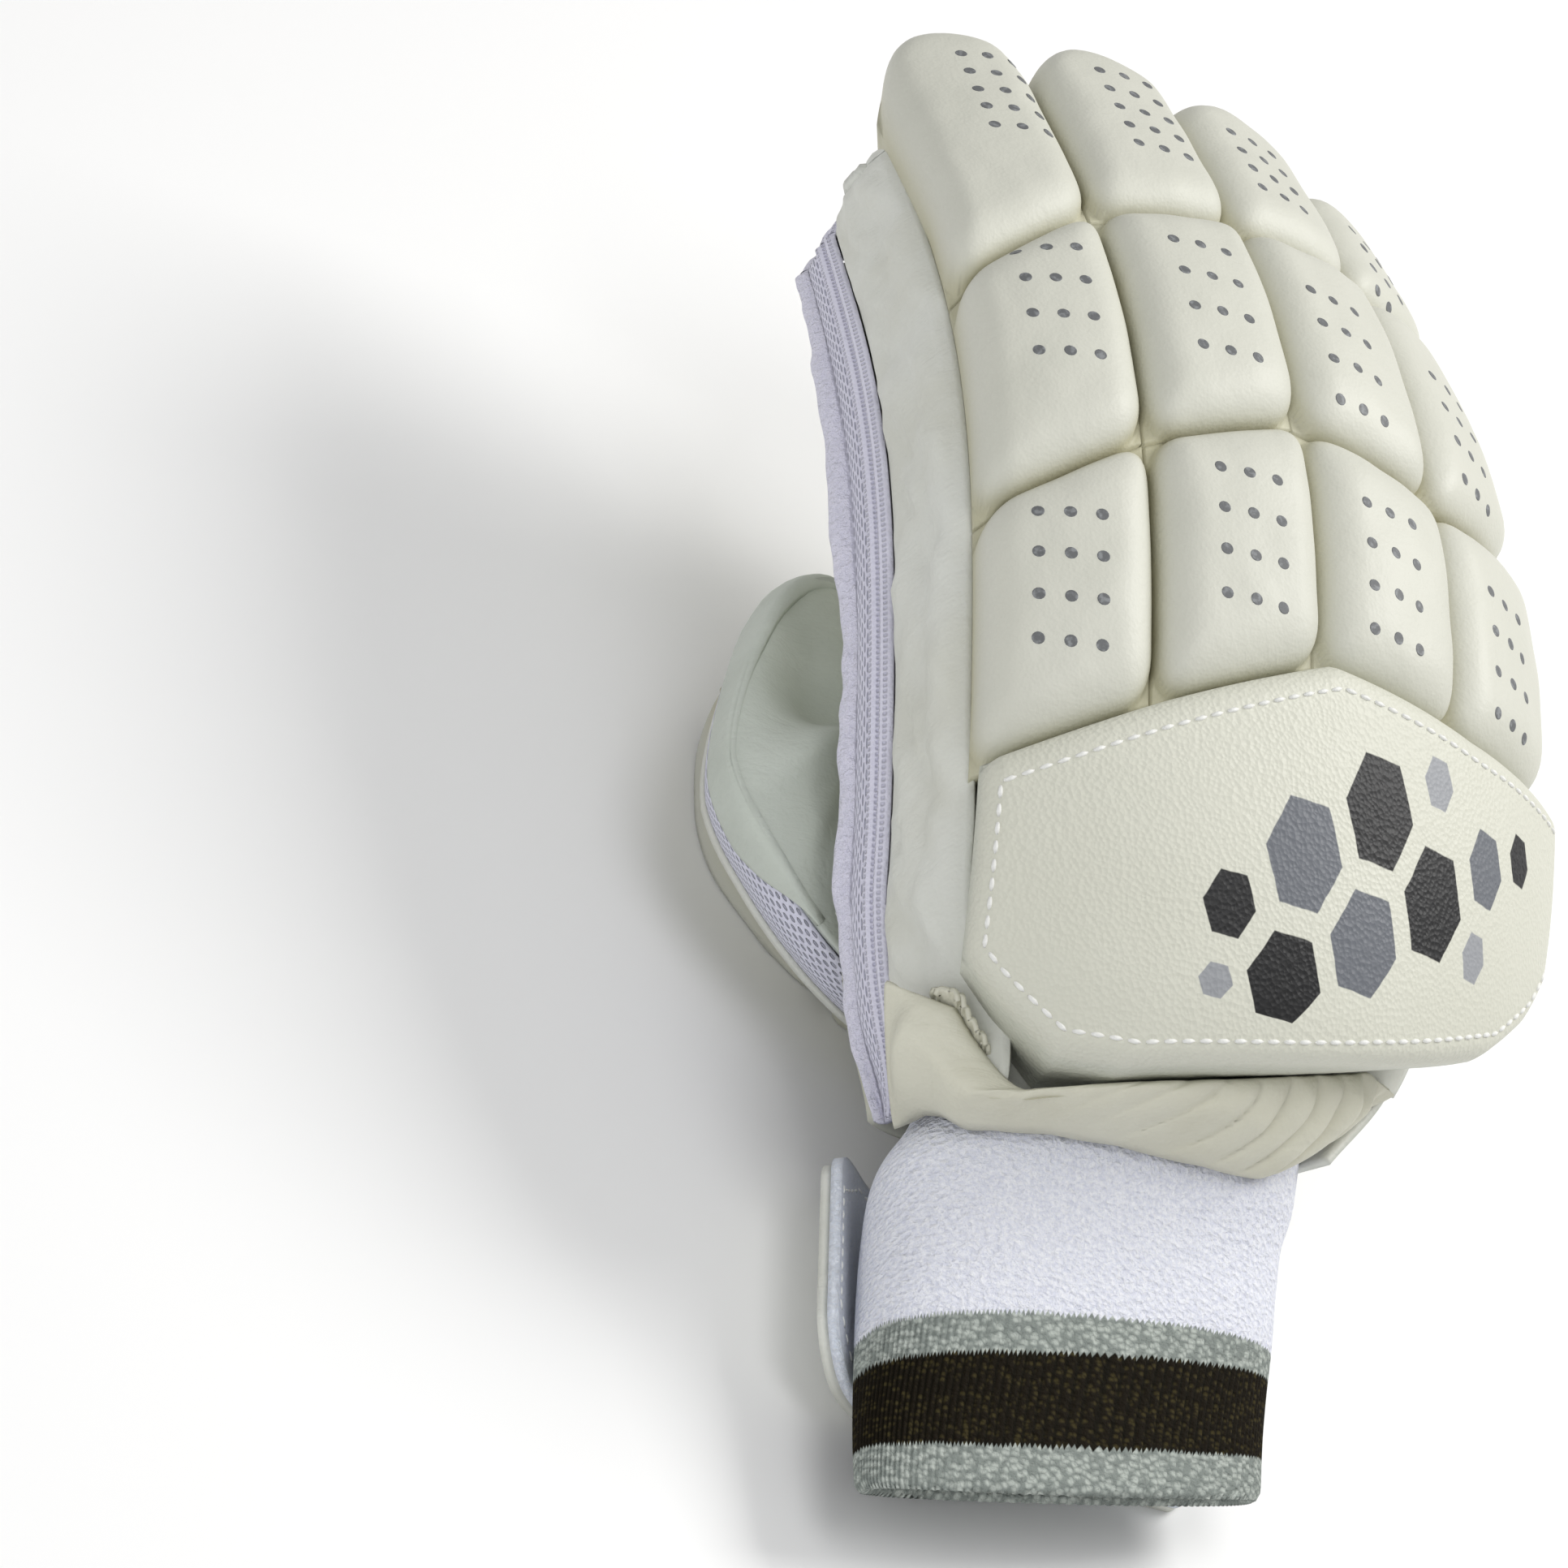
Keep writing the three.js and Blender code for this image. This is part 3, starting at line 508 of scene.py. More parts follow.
def padDotsOn(piece, column, row):
    tree = treeOf(piece)
    middleA, middleV = padDots[row][column]
    along = 5 if row == "tip" and column < 2 else 4
    bm = bmesh.new()
    for m in range(3):
        for n in range(along):
            a = middleA + (m - 1) * dotSizes["acrossPitch"]
            v = middleV + (n - (along - 1) / 2) * dotSizes["alongPitch"] * (0.85 if row == "tip" else 1)
            high, low = aboveBack(a, v, 40) * 0.001, aboveBack(a, v, 0) * 0.001
            addDot(bm, tree, high, (low - high).normalized())
    dots = meshPiece(piece.name.replace("cover", "dots"), bm, dotPrint)
    dots.data.polygons.foreach_set("use_smooth", [False] * len(dots.data.polygons))


padRows = [("guard", "knuckle"), ("knuckle", "middle"), ("middle", "tip")]
pads = {}
for column in range(4):
    for low, high in padRows:
        pads[column, high] = fingerPad(column, low, high)
        padDotsOn(pads[column, high], column, high)
print("finger pads:", len(pads))

# The guard over the wrist
guardSizes = {"thickness": 20, "bevel": 4.2, "rim": 0.68, "cellsAcross": 90, "cellsAlong": 60, "crown": 1.0}
guardLine = table("across guard roll", [
    (-0.9, 30, 4),
    (-0.8, 22, 3),
    (-0.62, 10, -1),
    (-0.42, 10, -1),
    (0.28, 27, 4),
    (0.5, 32, 10),
    (0.72, 37, 17),
    (0.9, 45, 20),
    (1.04, 55, 21),
])


def guardEdges(a):
    low = fromTable(guardLine, "across", "guard", a, straight=True)
    return low, fromTable(padLines, "across", "guard", a, straight=True) - padSizes["gap"] / 2


# The print on the guard: a drift of plain six-sided cells in black and greys
inks = {"black": (0.014, 0.014, 0.015), "grey": (0.15, 0.16, 0.18), "pale": (0.32, 0.33, 0.35)}
guardCells = [
    (-6, 36, 7, "black"), (9, 44.6, 7, "grey"), (-6, 53.4, 7, "grey"), (9, 62, 7, "black"),
    (24, 53.4, 7, "black"), (-19, 44.6, 4.6, "black"), (38, 61.5, 5, "grey"), (23, 69, 3.6, "pale"),
    (-19, 33, 3.2, "pale"), (37.5, 49.5, 3.4, "pale"), (50, 66, 3.6, "black"),
]


def guardFinish():
    f = Finish("guard_leather", Specular_IOR_Level=0.35)
    u, v = f.uv()
    pebble = f.cells(1150)
    soft = f.noise(30, 3)
    color = f.blend(soft.step(0.35, 0.7) * 0.5, (0.665, 0.665, 0.575), (0.62, 0.62, 0.53))
    shade = f.attribute("rim").step(0.0, 0.6)
    color = f.blend(shade, (0.58, 0.59, 0.51), color)
    wobble = f.noise(260, 2) * 0.5
    for x, y, radius, ink in guardCells:
        across, along = abs(u - x), abs(v - y)
        edge = (across * 0.866 + along * 0.5).most(along) + wobble
        color = f.blend(1 - edge.step(radius - 0.12, radius + 0.12), color, inks[ink])
    return f.finishWith(color, 0.45 + soft * 0.1, pebble * 0.16 + f.noise(700, 3) * 0.08)


def wristGuard():
    size = guardSizes
    first, last = guardLine[0]["across"], padLines[4]["across"]
    width = (hand["backRadius"] + size["thickness"]) * math.radians(hand["backHalfAngle"]) * (last - first)
    across, along = padShares(size["cellsAcross"], 0.35), padShares(size["cellsAlong"], 0.45)

    def corner(i, j):
        (s, wallS), (t, wallT) = across[i], along[j]
        a = mix(first, last, s)
        low, high = guardEdges(a)
        v = mix(low, high, t)
        rise = roundRise(s, t, width, high - low, size["bevel"])
        crown = size["crown"] * (16 * s * (1 - s) * t * (1 - t)) ** 0.6
        up = size["thickness"] * mix(size["rim"], 0.965, rise) + crown
        if wallS or wallT:
            up = rise = 0
        return aboveBack(a, v, padSizes["seat"] + up), a * width / (last - first), v, rise

    piece = gridPiece("wrist_guard_cover", size["cellsAcross"], size["cellsAlong"], corner, guardFinish(),
                      cap=True)
    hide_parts("wrist_guard")
    return piece


guard = wristGuard()
guardStitch = {"pitch": 3.1, "length": 2.7, "width": 0.95, "height": 0.8, "lift": 0.05, "inset": 4.8}


def guardStitches():
    inset = guardStitch["inset"]
    edge = []
    for a in [mix(-0.855, 0.985, n / 120) for n in range(121)]:
        low, high = guardEdges(a)
        edge.append((a, low + inset, high - inset))
    bottom = [aboveBack(a, low, 22) for a, low, _ in edge]
    top = [aboveBack(a, high, 22) for a, _, high in edge]
    side = [aboveBack(-0.855, mix(edge[0][1], edge[0][2], n / 12), 22) for n in range(13)]
    return stitchRow("guard_stitches", treeOf(guard), [side[::-1] + bottom, top], guardStitch, thread)


guardStitches()
print("wrist guard done")

# The hand's leather: a sheet with four fingers, over a grid with slits between them.
sheetSizes = {"acrossFinger": 9, "palmRows": 46, "fingerRows": 34, "wall": 1.5, "curl": 7.4}
palmCreases = table("along deep", [(128, 0.7), (152, 0.8), (170, 0.5), (98, 0.5), (84, 0.4)])
thumbHole = {"from": 11, "to": 76, "reach": 0.52}


def palmRight(v):
    t = clamp01((v - thumbHole["from"]) / (thumbHole["to"] - thumbHole["from"]))
    return 1 - thumbHole["reach"] * math.sin(math.pi * t) ** 0.7


# The sides draw in towards the wrist.
def wristTaper(v):
    return 1 - 0.1 * (1 - ease((v - 8) / 42))


def handSheet(name, start, at, right, material, wall):
    per = sheetSizes["acrossFinger"]
    columns = []
    for n, finger in enumerate(fingers):
        for k in range(per + 1):
            turn = math.sin(math.pi * (k / per - 0.5))
            s = mix(2 * k / per - 1, turn, 0.6)
            columns.append((finger["middle"] + finger["half"] * s, finger, n))
    columns[0] = (-1, *columns[0][1:])
    columns[-1] = (1, *columns[-1][1:])
    palmRows, fingerRows = sheetSizes["palmRows"], sheetSizes["fingerRows"]

    def corner(i, j):
        a, finger, _ = columns[i]
        if j <= palmRows:
            v = mix(start(a), hand["crotch"], j / palmRows)
        else:
            v = mix(hand["crotch"], fingerEnd(finger, a), (j - palmRows) / fingerRows)
        squeeze = right(v) if a > 0 else wristTaper(v)
        return at(a * squeeze, v), a, v / 100, 1

    def keep(i, j):
        return j < palmRows or columns[i][2] == columns[i + 1][2]

    return gridPiece(name, len(columns) - 1, palmRows + fingerRows, corner, material, wall, keep)


def palmPoint(a, v):
    crease = 0
    for row in palmCreases:
        crease += row["deep"] * math.exp(-((v - row["along"] - 2 * math.sin(a * 7)) / 2.6) ** 2)
    wave = drift(a * 4, v * 0.05, 1.5) * 0.8 + drift(a * 9, v * 0.16, 7) * 0.35
    # up to the band, which ends narrow
    curl = sheetSizes["curl"] * ease((30 - v) / 24) * clamp01((-a - 0.6) / 0.4) ** 2
    return abovePalm(a, v, clamp01(crease + 0.3 + wave) * 0.9 + curl)


# The back ends under the roll, further up on the thumb's side, where it also draws in
def backStartAt(a):
    return hand["backStart"] + 26 * ease((a - 0.3) / 0.4)


def backRight(v):
    return 1 - 0.24 * (1 - ease((v - 12) / 36))


palm = handSheet("palm_leather_sheet", lambda a: hand["palmStart"], palmPoint, palmRight, palmLeather,
                 -sheetSizes["wall"])
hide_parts("palm_leather")
back = handSheet("back_leather_sheet", backStartAt, lambda a, v: aboveBack(a, v, 0), backRight, handLeather,
                 sheetSizes["wall"])
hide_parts("back_leather")
print("hand leather done")

palmStitch = {"pitch": 3.2, "length": 2.4, "width": 0.6, "height": 0.5, "lift": 0.02, "inset": 3.2,
              "patch": (-0.3, 88, 0.42, 17), "holeInsets": (3.4, 5.6), "creases": (128, 153), "ulnarEdge": -0.93}


# Rows just inside the fingers' edges and the thumb's hole, across the creases, and round an oval patch
def palmStitches():
    size = palmStitch
    lines = []
    for finger in fingers:
        inset = size["inset"] / (hand["palmWidth"] / 2)
        left, right = finger["middle"] - finger["half"] + inset, finger["middle"] + finger["half"] - inset
        arc = [mix(left, right, k / 16) for k in range(17)]
        arc = [(a, fingerEnd(finger, a) - size["inset"]) for a in arc]
        sides = [(left, mix(hand["crotch"] - 6, arc[0][1], k / 20)) for k in range(20)]
        lines.append(sides + arc + [(right, v) for _, v in sides[::-1]])
        for at in size["creases"]:
            lines.append([(mix(left, right, k / 8), at - 3 * (1 - (k / 4 - 1) ** 2)) for k in range(9)])
    for inset in size["holeInsets"]:
        shown = [mix(12, 78, k / 40) for k in range(41)]
        lines.append([(palmRight(v) - inset / (hand["palmWidth"] / 2), v) for v in shown])
    middle, along, wide, tall = size["patch"]
    turns = [2 * math.pi * k / 48 for k in range(49)]
    lines.append([(middle + wide * math.cos(q), along + tall * math.sin(q)) for q in turns])
    lines.append([(size["ulnarEdge"], mix(14, 112, k / 40)) for k in range(41)])
    placed = [[abovePalm(a, v, -2) for a, v in line] for line in lines]
    return stitchRow("palm_stitches", treeOf(palm), placed, size, thread)


palmStitches()


# Strips of the sides, standing between the palm's and the back's leather.
def fingerPath(finger, part, step=2.2):
    n = fingers.index(finger)
    left = -1 if n == 0 else finger["middle"] - finger["half"]
    right = 1 if n == 3 else finger["middle"] + finger["half"]
    crotch = hand["crotch"]
    seam = 0.35 / hand["palmWidth"]

    def side(a):
        end = fingerEnd(finger, a)
        count = int((end - crotch) / step)
        return [(a, mix(crotch, end, k / count)) for k in range(count)]

    def arc(a, b, eased):
        found = []
        for k in range(13):
            turn = k / 12 * math.pi / 2
            share = mix(a, b, 1 - math.cos(turn) if eased else math.sin(turn))
            found.append((share, fingerEnd(finger, share)))
        return found

    if part == "up":
        return side(left) + arc(left, finger["middle"] - seam, True)
    return arc(finger["middle"] + seam, right, False)[:-1] + [(right, fingerEnd(finger, right))] + side(right)[::-1]


# With lap the last rows run on past the back leather, up to the foot of the pads.
def sideStrip(name, path, low, high, rows, out, material, wall=-1.4, lap=False):
    half = hand["palmWidth"] / 2
    flat = [Vector((a * half, v)) for a, v in path]
    run = lengthsAlong(flat)

    def corner(i, j):
        ahead = (flat[min(len(flat) - 1, i + 1)] - flat[max(0, i - 1)]).normalized()
        share = j / rows
        away = out(share, run[i])
        p = flat[i] - Vector((ahead.y, -ahead.x)) * away
        if lap and share > sideSizes["lapFrom"]:
            t = (share - sideSizes["lapFrom"]) / (1 - sideSizes["lapFrom"])
            up = mix(-hand["leather"] - 0.35, sideSizes["lapUp"], t)
            up += (away - 0.6) * 0.75 * math.sin(math.pi * t) ** 0.5
            draw = sideSizes["lapIn"] * t ** 1.6 * (1 + 0.3 * ease((70 - p.y) / 20) + 1.2 * ease((40 - p.y) / 22))
            draw = 1 - draw * (p.x < -half * 0.7)
            return aboveBack(p.x / half * draw, p.y, up), run[i] / 10, share, 1
        drawn = share / sideSizes["lapFrom"] if lap else share + (0.9 - share) * 0.6 * ease((30 - p.y) / 24)
        return between(p.x / half, p.y, mix(low, high, drawn)), run[i] / 10, share, 1

    return gridPiece(name, len(path) - 1, rows, corner, material, wall)


# Oval holes in staggered rows, so many along a centimetre and so many rows over the piece
def netHoles(u, v, along, rows, wide, tall):
    x = ((u * along + (v * rows).floor() * 0.5).fraction() - 0.5) * 2
    y = ((v * rows).fraction() - 0.5) * 2
    return 1 - (x * x * wide + y * y * tall).step(0.12, 0.5)


def meshFinish():
    f = Finish("mesh", Roughness=0.85, Sheen_Weight=0.3, Sheen_Roughness=0.5)
    u, v = f.uv()
    hole = netHoles(u, v, 4.4, 14, 1, 1.3)
    knit = f.noise(1500, 2)
    # Painted shade: the holes are not cut, so they are painted dark, as the shade seen through them
    color = f.blend(hole, (0.74, 0.74, 0.86), (0.30, 0.31, 0.38))
    color = f.blend(knit.step(0.3, 0.7) * 0.35, color, (0.62, 0.61, 0.76))
    return f.finishWith(color, 0.85, (1 - hole) * 0.7 + knit * 0.25)


def bandFinish():
    f = Finish("knit_band", Roughness=0.85, Sheen_Weight=0.3, Sheen_Roughness=0.5)
    u, v = f.uv()
    hole = netHoles(u, v, 3.6, 20, 0.8, 1.5) * v.step(0.26, 0.3) * (1 - v.step(0.55, 0.6))
    rowOf = ((v - 0.66) * 12.0).fraction() - 0.5
    loops = ((u * 62.0).sine() * 0.5 + 0.5) * (1 - abs(rowOf).step(0.1, 0.3)) * v.step(0.64, 0.67)
    knit = f.noise(1400, 2)
    # Painted shade: the holes are not cut, so they are painted dark, as the shade seen through them
    color = f.blend(hole, (0.76, 0.75, 0.87), (0.40, 0.41, 0.52))
    color = f.blend(loops * 0.6, color, (0.50, 0.50, 0.66))
    color = f.blend(knit.step(0.3, 0.7) * 0.3, color, (0.64, 0.63, 0.78))
    fleece = f.noise(520, 3, 0.7) * (1 - v.step(0.24, 0.28))
    color = f.blend(fleece.step(0.4, 0.65) * 0.5, color, (0.82, 0.80, 0.92))
    return f.finishWith(color, 0.85, (1 - hole) * 0.6 - loops * 0.4 + knit * 0.3 + fleece * 1.4)


meshCloth = meshFinish()
bandCloth = bandFinish()
sideSizes = {"meshShare": 0.55, "pipe": 2.8, "pipeEnd": 0.26, "meshOut": 0.9, "ridgeOut": 1.7, "wave": 2.4,
             "ridgeFrom": 0.6, "lapFrom": 0.56, "lapUp": 7.6, "lapIn": 0.082, "padCorners": (50, 90, 131)}


def ulnarOut(share, run):
    size = sideSizes
    wave = size["wave"] * (drift(run * 0.05, 0.3, 0) + 0.5 * drift(run * 0.15, 3, 0))
    if share < size["pipeEnd"]:
        t = share / size["pipeEnd"]
        return (size["pipe"] + wave) * math.sqrt(max(0, 1 - (2 * t - 1) ** 2)) * (1 - 0.25 * t) + 0.2
    if share < size["ridgeFrom"]:
        return size["meshOut"] + 0.5 * math.sin((share - size["pipeEnd"]) / 0.36 * math.pi)
    t = (share - size["ridgeFrom"]) / (1 - size["ridgeFrom"])
    return size["ridgeOut"] * abs(math.sin(2 * math.pi * t)) ** 0.6 * (1 - 0.3 * t) + 0.8


def sideLeatherOut(share, run):
    fold = drift(run * 0.05 + share, share * 1.6, 4) * 2.2
    fold += drift(run * 0.15 + share * 4, share * 2.2, 9) * 1.5
    fold -= max(0, drift(run * 0.09 - share * 3, share * 1.1, 14)) ** 0.7 * 1.2
    for at in sideSizes["padCorners"]:  # creases run out from there
        near = math.exp(-((run - at) / 9) ** 2)
        fold -= near * abs(math.sin((run - at) * 0.28 + share * 1.5)) ** 0.6 * 1.1
    return 0.6 + 2.8 * math.sin(math.pi * share) ** 0.7 + fold * math.sin(math.pi * min(1, share * 1.1)) ** 0.6


ulnarStart = [mix(hand["backStart"], hand["crotch"], k / 60) for k in range(60)]
ulnarStart = [(-wristTaper(v), v) for v in ulnarStart]
ulnarPath = ulnarStart + fingerPath(fingers[0], "up")
ulnar = sideStrip("ulnar_band", ulnarPath, 0, sideSizes["meshShare"], 36, ulnarOut, bandCloth)
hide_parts("ulnar_gusset")
sideWall = sideStrip("side_leather_wall", ulnarPath, sideSizes["meshShare"] + 0.01, 1, 34, sideLeatherOut,
                     handLeather, lap=True)
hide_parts("side_leather")
for n in range(3):
    path = fingerPath(fingers[n], "down") + [(fingers[n]["middle"] + fingers[n]["half"], hand["crotch"])]
    path += fingerPath(fingers[n + 1], "up")
    name = f"fourchette_{fingers[n]['name']}_{fingers[n + 1]['name']}"
    strip = sideStrip(name + "_mesh", path, 0, 1, 14, lambda s, r: 0.4 * math.sin(math.pi * s), meshCloth)
    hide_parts(name)
radialEnd = [(1, mix(hand["crotch"], thumbHole["to"] + 1, k / 16)) for k in range(17)]
radial = sideStrip("radial_mesh", fingerPath(fingers[3], "down") + radialEnd, 0, 1, 24,
                   lambda s, r: 2.4 * math.sin(math.pi * s), meshCloth)
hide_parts("radial_gusset")
print("sides done")

# The knitted cuff
cuffSizes = {"width": 80, "height": 34.5, "wall": 2.0, "squareness": 0.82, "under": 8, "skew": 0.24,
             "around": 396, "rows": 78, "ribs": 66, "rib": 0.5, "lip": 0.8, "ribsTo": -33}
knitBands = {"grey": -35, "dark": -41, "hem": -56, "soft": 0.2}
cuffLine = table("along width height middle aside", [
    (-63.5, 1.0, 0.42, 6.6, 3),
    (-49, 1.01, 0.62, 8.4, 1.5),
    (-33, 1.01, 0.88, 11.4, 0),
    (-15, 1, 1.02, 14.2, -1.5),
    (-4, 0.98, 1.02, 17, -2.5),
    (7, 0.93, 0.98, 19.6, -1),
    (32, 0.86, 0.92, 19.6, 0),
])


def cuffAt(angle, v, wall):
    def share(column):
        return fromTable(cuffLine, "along", column, v)

    def bend(q):
        return math.copysign(abs(q) ** cuffSizes["squareness"], q)

    x = (cuffSizes["width"] * share("width") / 2 - wall) * bend(math.cos(angle))
    z = share("middle") + (cuffSizes["height"] * share("height") / 2 - wall) * bend(math.sin(angle))
    return place(x + share("aside"), z, v + cuffSizes["skew"] * x * clamp01(-v / 40))


def knitFinish():
    f = Finish("knit", Roughness=0.95, Specular_IOR_Level=0.15)
    u, v = f.uv()
    teeth = abs((u * 1.4).fraction() - 0.5) * 2 - 0.5
    band = v + teeth * 0.8 + (f.noise(300, 1) - 0.5) * 0.7
    towel = f.noise(1300, 3, 0.7)
    white = f.blend(towel.step(0.3, 0.7), (0.72, 0.74, 0.85), (0.90, 0.91, 0.96))
    speck = f.cells(620, f.stretched((1, 1.7, 1)))
    grey = f.blend(speck.step(0.2, 0.7), (0.50, 0.54, 0.50), (0.26, 0.29, 0.27))
    rib = abs((u * 0.7).fraction() - 0.5) * 2
    dark = f.blend(speck.step(0.1, 0.55), (0.050, 0.040, 0.014), (0.010, 0.007, 0.003))
    # Painted shade: darker still along the rib valleys, which the cuff's ribs press in
    dark = f.blend(rib.step(0.5, 0.9) * 0.8, dark, (0.006, 0.005, 0.002))
    color = white
    for name, below in (("grey", grey), ("dark", dark), ("hem", grey)):
        edge, soft = knitBands[name], knitBands["soft"]
        color = f.blend(band.step(edge - soft, edge + soft), below, color)
    return f.finishWith(color, 0.9, towel * 0.6 + speck * 0.5)


def knittedCuff():
    size = cuffSizes
    start, end = cuffLine[0]["along"], cuffLine[-1]["along"]

    def corner(i, j):
        angle = i / size["around"] * 2 * math.pi
        row = mix(start, end, j / size["rows"])
        v = row + size["under"] * (1 - math.sin(angle)) * clamp01(-row / 60) / 2
        ribbed = clamp01((size["ribsTo"] - row) / 3)
        rib = size["rib"] * (abs(math.sin(angle * size["ribs"])) - 1) * ribbed
        lip = size["lip"] * clamp01(1 - (row - start) / 2) ** 2
        return cuffAt(angle, v, lip - rib * 0.8), angle * 30, row, 1

    piece = gridPiece("wrist_cuff_knit", size["around"], size["rows"], corner, knitFinish(), size["wall"],
                      closed=True)
    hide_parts("wrist_cuff")


knittedCuff()
print("cuff done")

# The leather roll over the wrist
rollSizes = {"steps": 220, "rows": 40, "bulge": 7.5, "reach": 0.81, "pleats": 17, "pleat": 3.6, "leather": 1.6,
             "tuck": 5.5, "highest": 33, "from": -1.11, "cut": 8.5, "cutAt": -0.78, "pleatsFrom": 0.36}
tuckSizes = {"steps": 110, "rows": 6, "from": -0.97, "to": -0.8, "low": 5.2, "high": 8.6, "wall": 0.8}


# The roll's upper edge under the guard, which dips where it meets the side's leather
def rollTop(a, under):
    high = min(fromTable(guardLine, "across", "guard", a) - under, rollSizes["highest"])
    dip = rollSizes["cut"] * math.exp(-((a - rollSizes["cutAt"]) / 0.2) ** 2)
    return high - (dip + 3 * ease(-4 * a - 3.2))


def wristRoll():
    size = rollSizes

    def corner(i, j):
        s, t = i / size["steps"], j / size["rows"]
        a = mix(size["from"], size["reach"], s)
        high = rollTop(a, 0.3)
        low = mix(fromTable(guardLine, "across", "roll", a), high - 6, ease((s - 0.72) / 0.28))
        lowPoint = cuffAt(math.radians(90 - 86 * a), low, -0.7 - size["leather"])
        highPoint = aboveBack(a, high, 2.5 + size["tuck"] * (1 - ease((s - 0.6) / 0.4)))
        out = (lowPoint.lerp(highPoint, 0.5) - place(0, 12, (low + high) / 2)).normalized()
        pleated = clamp01((s - size["pleatsFrom"]) * 3)
        pleat = abs(math.sin(size["pleats"] * math.pi * s + 4 * (t - 0.5) ** 2 - 2.5 * t)) ** 0.55 - 0.6
        pleat *= size["pleat"] * pleated
        soft = 2.0 * drift(s * 5, t * 1.6 + s * 2, 5) + 0.8 * drift(s * 19, t * 3, 1)
        ends = ease(s / 0.08) * (1 - 0.75 * ease((s - 0.86) / 0.14))
        fade = mix(1.1, 0.55, ease((s - 0.3) / 0.5)) * mix(0.12, 1, ends)
        bulge = (size["bulge"] * fade + (pleat + soft) * ends) * math.sin(math.pi * t ** 0.8) ** 0.62
        scallop = 0.7 * abs(math.sin(s * 30)) * (1 - t) ** 5
        return lowPoint.lerp(highPoint, t) + out * (bulge - scallop), s, t, 1

    piece = gridPiece("wrist_roll_fold", size["steps"], size["rows"], corner, rollLeather,
                      size["leather"])
    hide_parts("wrist_roll")


wristRoll()


# A short raw edge that puckers where the roll is sewn to the side's leather
def wristTuck():
    size = tuckSizes

    def corner(i, j):
        s, t = i / size["steps"], j / size["rows"]
        a = mix(size["from"], size["to"], s)
        high = rollTop(a, 0)
        pucker = (1.5 * drift(s * 14, 2, 2) + 0.8 * math.sin(s * 34 + 3 * math.sin(s * 13))) * t
        up = mix(size["low"], size["high"], t) + 0.5 * drift(s * 12, t, 3) - 3 * (2 * s - 1) ** 4
        return aboveBack(a, high - 0.6 + 1.6 * t + pucker, up + 1.6), s, t, 1

    return gridPiece("wrist_tuck", size["steps"], size["rows"], corner, rollLeather, size["wall"])


wristTuck()
print("wrist roll done")

# The strap and its lining
strapSizes = {"reach": 51, "short": 43, "from": -43, "to": 5, "lean": 0.22, "flat": 28, "rise": 15, "slant": 9,
              "leather": 1.8, "lining": 1.9, "round": 10, "steps": 120, "rows": 48}


def strapLayer(name, lowest, thickness, trim, material, node):
    size = strapSizes
    middle = (size["from"] + size["to"]) / 2
    across = [mix(-1, 1, n / size["steps"]) for n in range(size["steps"] + 1)]
    across = [math.copysign(1 - (1 - abs(q)) ** 1.3, q) for q in across]
    reach, half = size["reach"] - trim, (size["to"] - size["from"]) / 2 - trim

    def corner(i, j):
        x = across[i] * (size["short"] - trim if across[i] > 0 else reach)
        cutCorner = clamp01((abs(across[i]) - 1) * reach / size["round"] + 1)
        y = (half - size["round"] * (1 - math.sqrt(1 - 0.98 * cutCorner ** 2))) * (2 * j / size["rows"] - 1)
        rise = max(0, -x - size["flat"]) / (size["reach"] - size["flat"])
        steep = 1.7 * size["rise"] * rise ** 0.7 / (size["reach"] - size["flat"])
        tilt = math.atan(steep) * (1 if x > 0 else -1)
        up = lowest + thickness
        slant = size["slant"] * (y / half) * max(0, x - size["flat"]) / (size["short"] - size["flat"])
        spot = Vector((x - up * math.sin(tilt) + slant + size["lean"] * (middle + y) + hand["shift"][0],
                       middle + y + hand["shift"][1], size["rise"] * rise ** 1.7 + up * math.cos(tilt)))
        return spot, x / 10, y / 10, 1

    piece = gridPiece(name, size["steps"], size["rows"], corner, material, thickness - 0.05)
    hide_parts(node)
    return piece


def feltFinish():
    f = Finish("felt", Roughness=0.95, Sheen_Weight=0.5, Sheen_Roughness=0.6)
    fibre = f.noise(1100, 4, 0.7, 1.5)
    soft = f.noise(60, 3)
    color = f.blend(fibre.step(0.35, 0.65), (0.76, 0.82, 0.94), (0.86, 0.90, 0.98))
    color = f.blend(soft.step(0.4, 0.7) * 0.3, color, (0.72, 0.76, 0.86))
    return f.finishWith(color, 0.95, fibre * 0.5 + soft * 0.4)


strapLayer("strap_leather_tab", 0, strapSizes["leather"], 0, handLeather, "strap_leather")
lining = strapLayer("strap_lining_felt", strapSizes["leather"] + 0.05, strapSizes["lining"], -0.5, feltFinish(),
                    "strap_lining")
liningStitch = {"pitch": 2.9, "length": 2.2, "width": 0.6, "height": 0.5, "lift": 0.02, "inset": 3.2, "corner": 8,
                "up": 4.2}


def liningStitches():
    size, edge = strapSizes, liningStitch["inset"]
    low, high, left, right = size["from"] + edge, size["to"] - edge, -size["reach"] + edge, size["short"] - edge
    middle = (size["from"] + size["to"]) / 2

    def at(x, y):
        rise = max(0, -x - size["flat"]) / (size["reach"] - size["flat"])
        slant = size["slant"] * (y - middle) / 24 * max(0, x - size["flat"]) / (size["short"] - size["flat"])
        return Vector((x + slant + size["lean"] * y + hand["shift"][0], y + hand["shift"][1],
                       size["rise"] * rise ** 1.7 + liningStitch["up"]))

    corner = liningStitch["corner"]
    path = [(right, high), (left + corner, high), (left, high - corner), (left, low + corner), (left + corner, low),
            (right, low)]
    line = []
    for (x, y), (nextX, nextY) in zip(path, path[1:]):
        line += [at(mix(x, nextX, k / 12), mix(y, nextY, k / 12)) for k in range(12)]
    line.append(at(*path[-1]))
    return stitchRow("strap_stitches", treeOf(lining), [line], liningStitch, thread)


liningStitches()
print("strap done")

